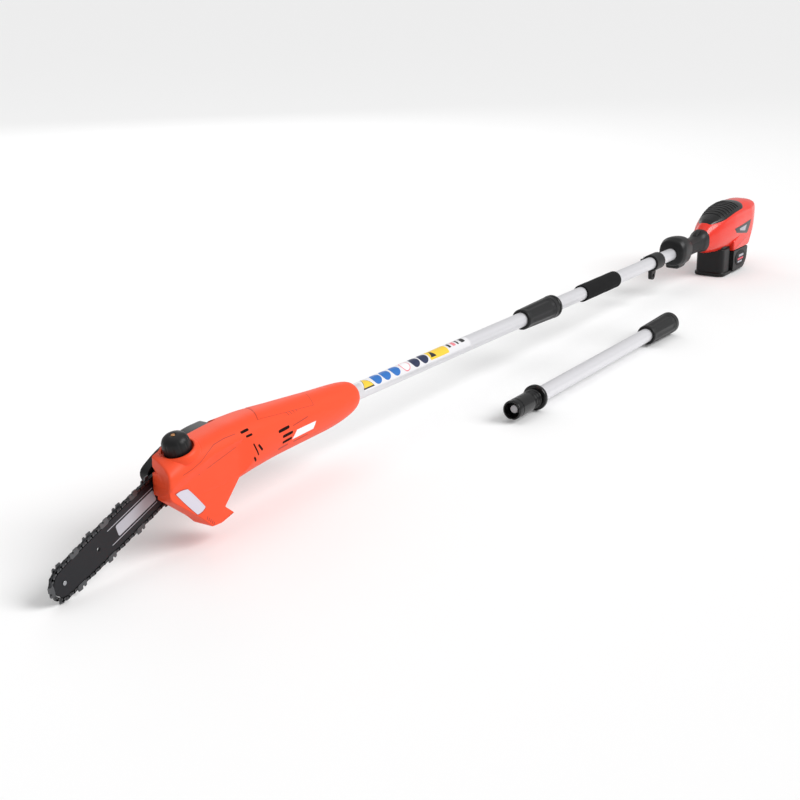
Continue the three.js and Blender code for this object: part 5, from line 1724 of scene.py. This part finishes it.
@dataclass
class Studio:
    """The floor that the bar's nose and the foot stand on, the lights and the camera."""

    eye: tuple[float, float, float] = (-1700.0, -1160.0, 625.0)
    look: tuple[float, float, float] = (0.806, 0.5125, -0.2957)
    up: tuple[float, float, float] = (0.2496, 0.1586, 0.9553)
    lens: float = 65.25
    key_strength: float = 2.2
    key_angle: float = math.radians(35.0)
    world_strength: float = 0.5
    key_from: tuple[float, float, float] = (1.1, -3.1, 2.7)

    def build(self, shop: Workshop, pole: Axes) -> None:
        """Sets up the floor, the lights, the world and the camera."""
        self._floor(shop)
        self._lights(pole)
        self._world()
        self._camera(pole)

    def _floor(self, shop: Workshop) -> None:
        """A wide plane through the lowest point of the chain and the flat bottom of the foot."""
        chain_low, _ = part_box("saw_chain")
        foot_low, foot_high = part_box("battery_foot")
        nose_low, nose_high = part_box("nose_sprocket")
        nose_x = (nose_low.x + nose_high.x) / 2
        rise = (foot_low.z - chain_low.z) / (foot_high.x - nose_x)
        near, far, drop = -14.0, 16.0, 0.0006
        level = foot_low.z - rise * foot_high.x - drop
        low, high = level + rise * near, level + rise * far
        corners = [(near, near, low), (far, near, high), (far, far, high), (near, far, low)]
        mesh = bpy.data.meshes.new("studio_floor")
        mesh.from_pydata(corners, [], [(0, 1, 2, 3)])
        mesh.materials.append(FLOOR.material(shop.grain))
        floor = bpy.data.objects.new("studio_floor", mesh)
        bpy.context.scene.collection.objects.link(floor)
        floor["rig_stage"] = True

    def _lights(self, pole: Axes) -> None:
        """A broad key from beside the camera, a soft top light and a rim light from behind."""
        middle = Vector(pole.place(np.array([500.0, 0.0, 0.0])))
        key = bpy.data.lights.new("key", "SUN")
        key.energy = self.key_strength
        key.angle = self.key_angle
        lamp = bpy.data.objects.new("key", key)
        bpy.context.scene.collection.objects.link(lamp)
        lamp.location = middle + Vector(self.key_from)
        lamp.rotation_mode = "QUATERNION"
        lamp.rotation_quaternion = (-Vector(self.key_from)).to_track_quat("-Z", "Y")
        for name, place, size, power in (
            ("top", (-0.2, 0.4, 3.4), 3.4, 22.0),
            ("rim", (2.2, 2.6, 1.6), 1.6, 14.0),
        ):
            light = bpy.data.lights.new(name, "AREA")
            light.energy = power
            light.size = size
            lamp = bpy.data.objects.new(name, light)
            bpy.context.scene.collection.objects.link(lamp)
            lamp.location = middle + Vector(place)
            lamp.rotation_mode = "QUATERNION"
            lamp.rotation_quaternion = (middle - lamp.location).to_track_quat("-Z", "Y")

    def _world(self) -> None:
        """An even white surround."""
        world = bpy.data.worlds.new("studio")
        bpy.context.scene.world = world
        world.use_nodes = True
        back = world.node_tree.nodes["Background"]
        back.inputs["Color"].default_value = (1.0, 1.0, 1.0, 1.0)
        back.inputs["Strength"].default_value = self.world_strength
        bpy.context.scene.view_settings.view_transform = "Standard"

    def _camera(self, pole: Axes) -> None:
        """The camera, from its place and directions."""
        camera = bpy.data.cameras.new("camera")
        camera.lens = self.lens
        camera.sensor_width = 36.0
        camera.clip_end = 100.0
        view = bpy.data.objects.new("camera", camera)
        bpy.context.scene.collection.objects.link(view)
        look, up = Vector(self.look).normalized(), Vector(self.up)
        right = look.cross(up).normalized()
        up = right.cross(look)
        turn = Matrix((right, up, -look)).transposed().to_4x4()
        view.matrix_world = Matrix.Translation(Vector(pole.place(np.array(self.eye)))) @ turn
        bpy.context.scene.camera = view


# ---------------------------------------------------------------- the saw


def pole_axes() -> Axes:
    """The pole's frame: its axis through the front tube, counted from the head's nominal end."""
    low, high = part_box("front_tube")
    _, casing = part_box("casing_left")
    height = (low.z + high.z) / 2
    return Axes(np.array([casing.x / MM + 9.0, 0.0, height / MM]))


def main() -> None:
    """Builds the saw and its studio, and reports each part."""
    logging.basicConfig(level=logging.INFO, format="%(name)s: %(message)s")
    shop = Workshop()
    shop.dress_frame()
    pole = pole_axes()
    Studio().build(shop, pole)
    MotorHead().build(shop, pole)
    CuttingSet().build(shop, pole)
    FrontPole().build(shop, pole)
    RearPole().build(shop, pole)
    LooseExtension().build(shop)
    RearHandle().build(shop, pole)
    PowerUnit().build(shop, pole)
    LOG.info("made %d pieces", len(shop.made))


if __name__ == "__main__":
    main()
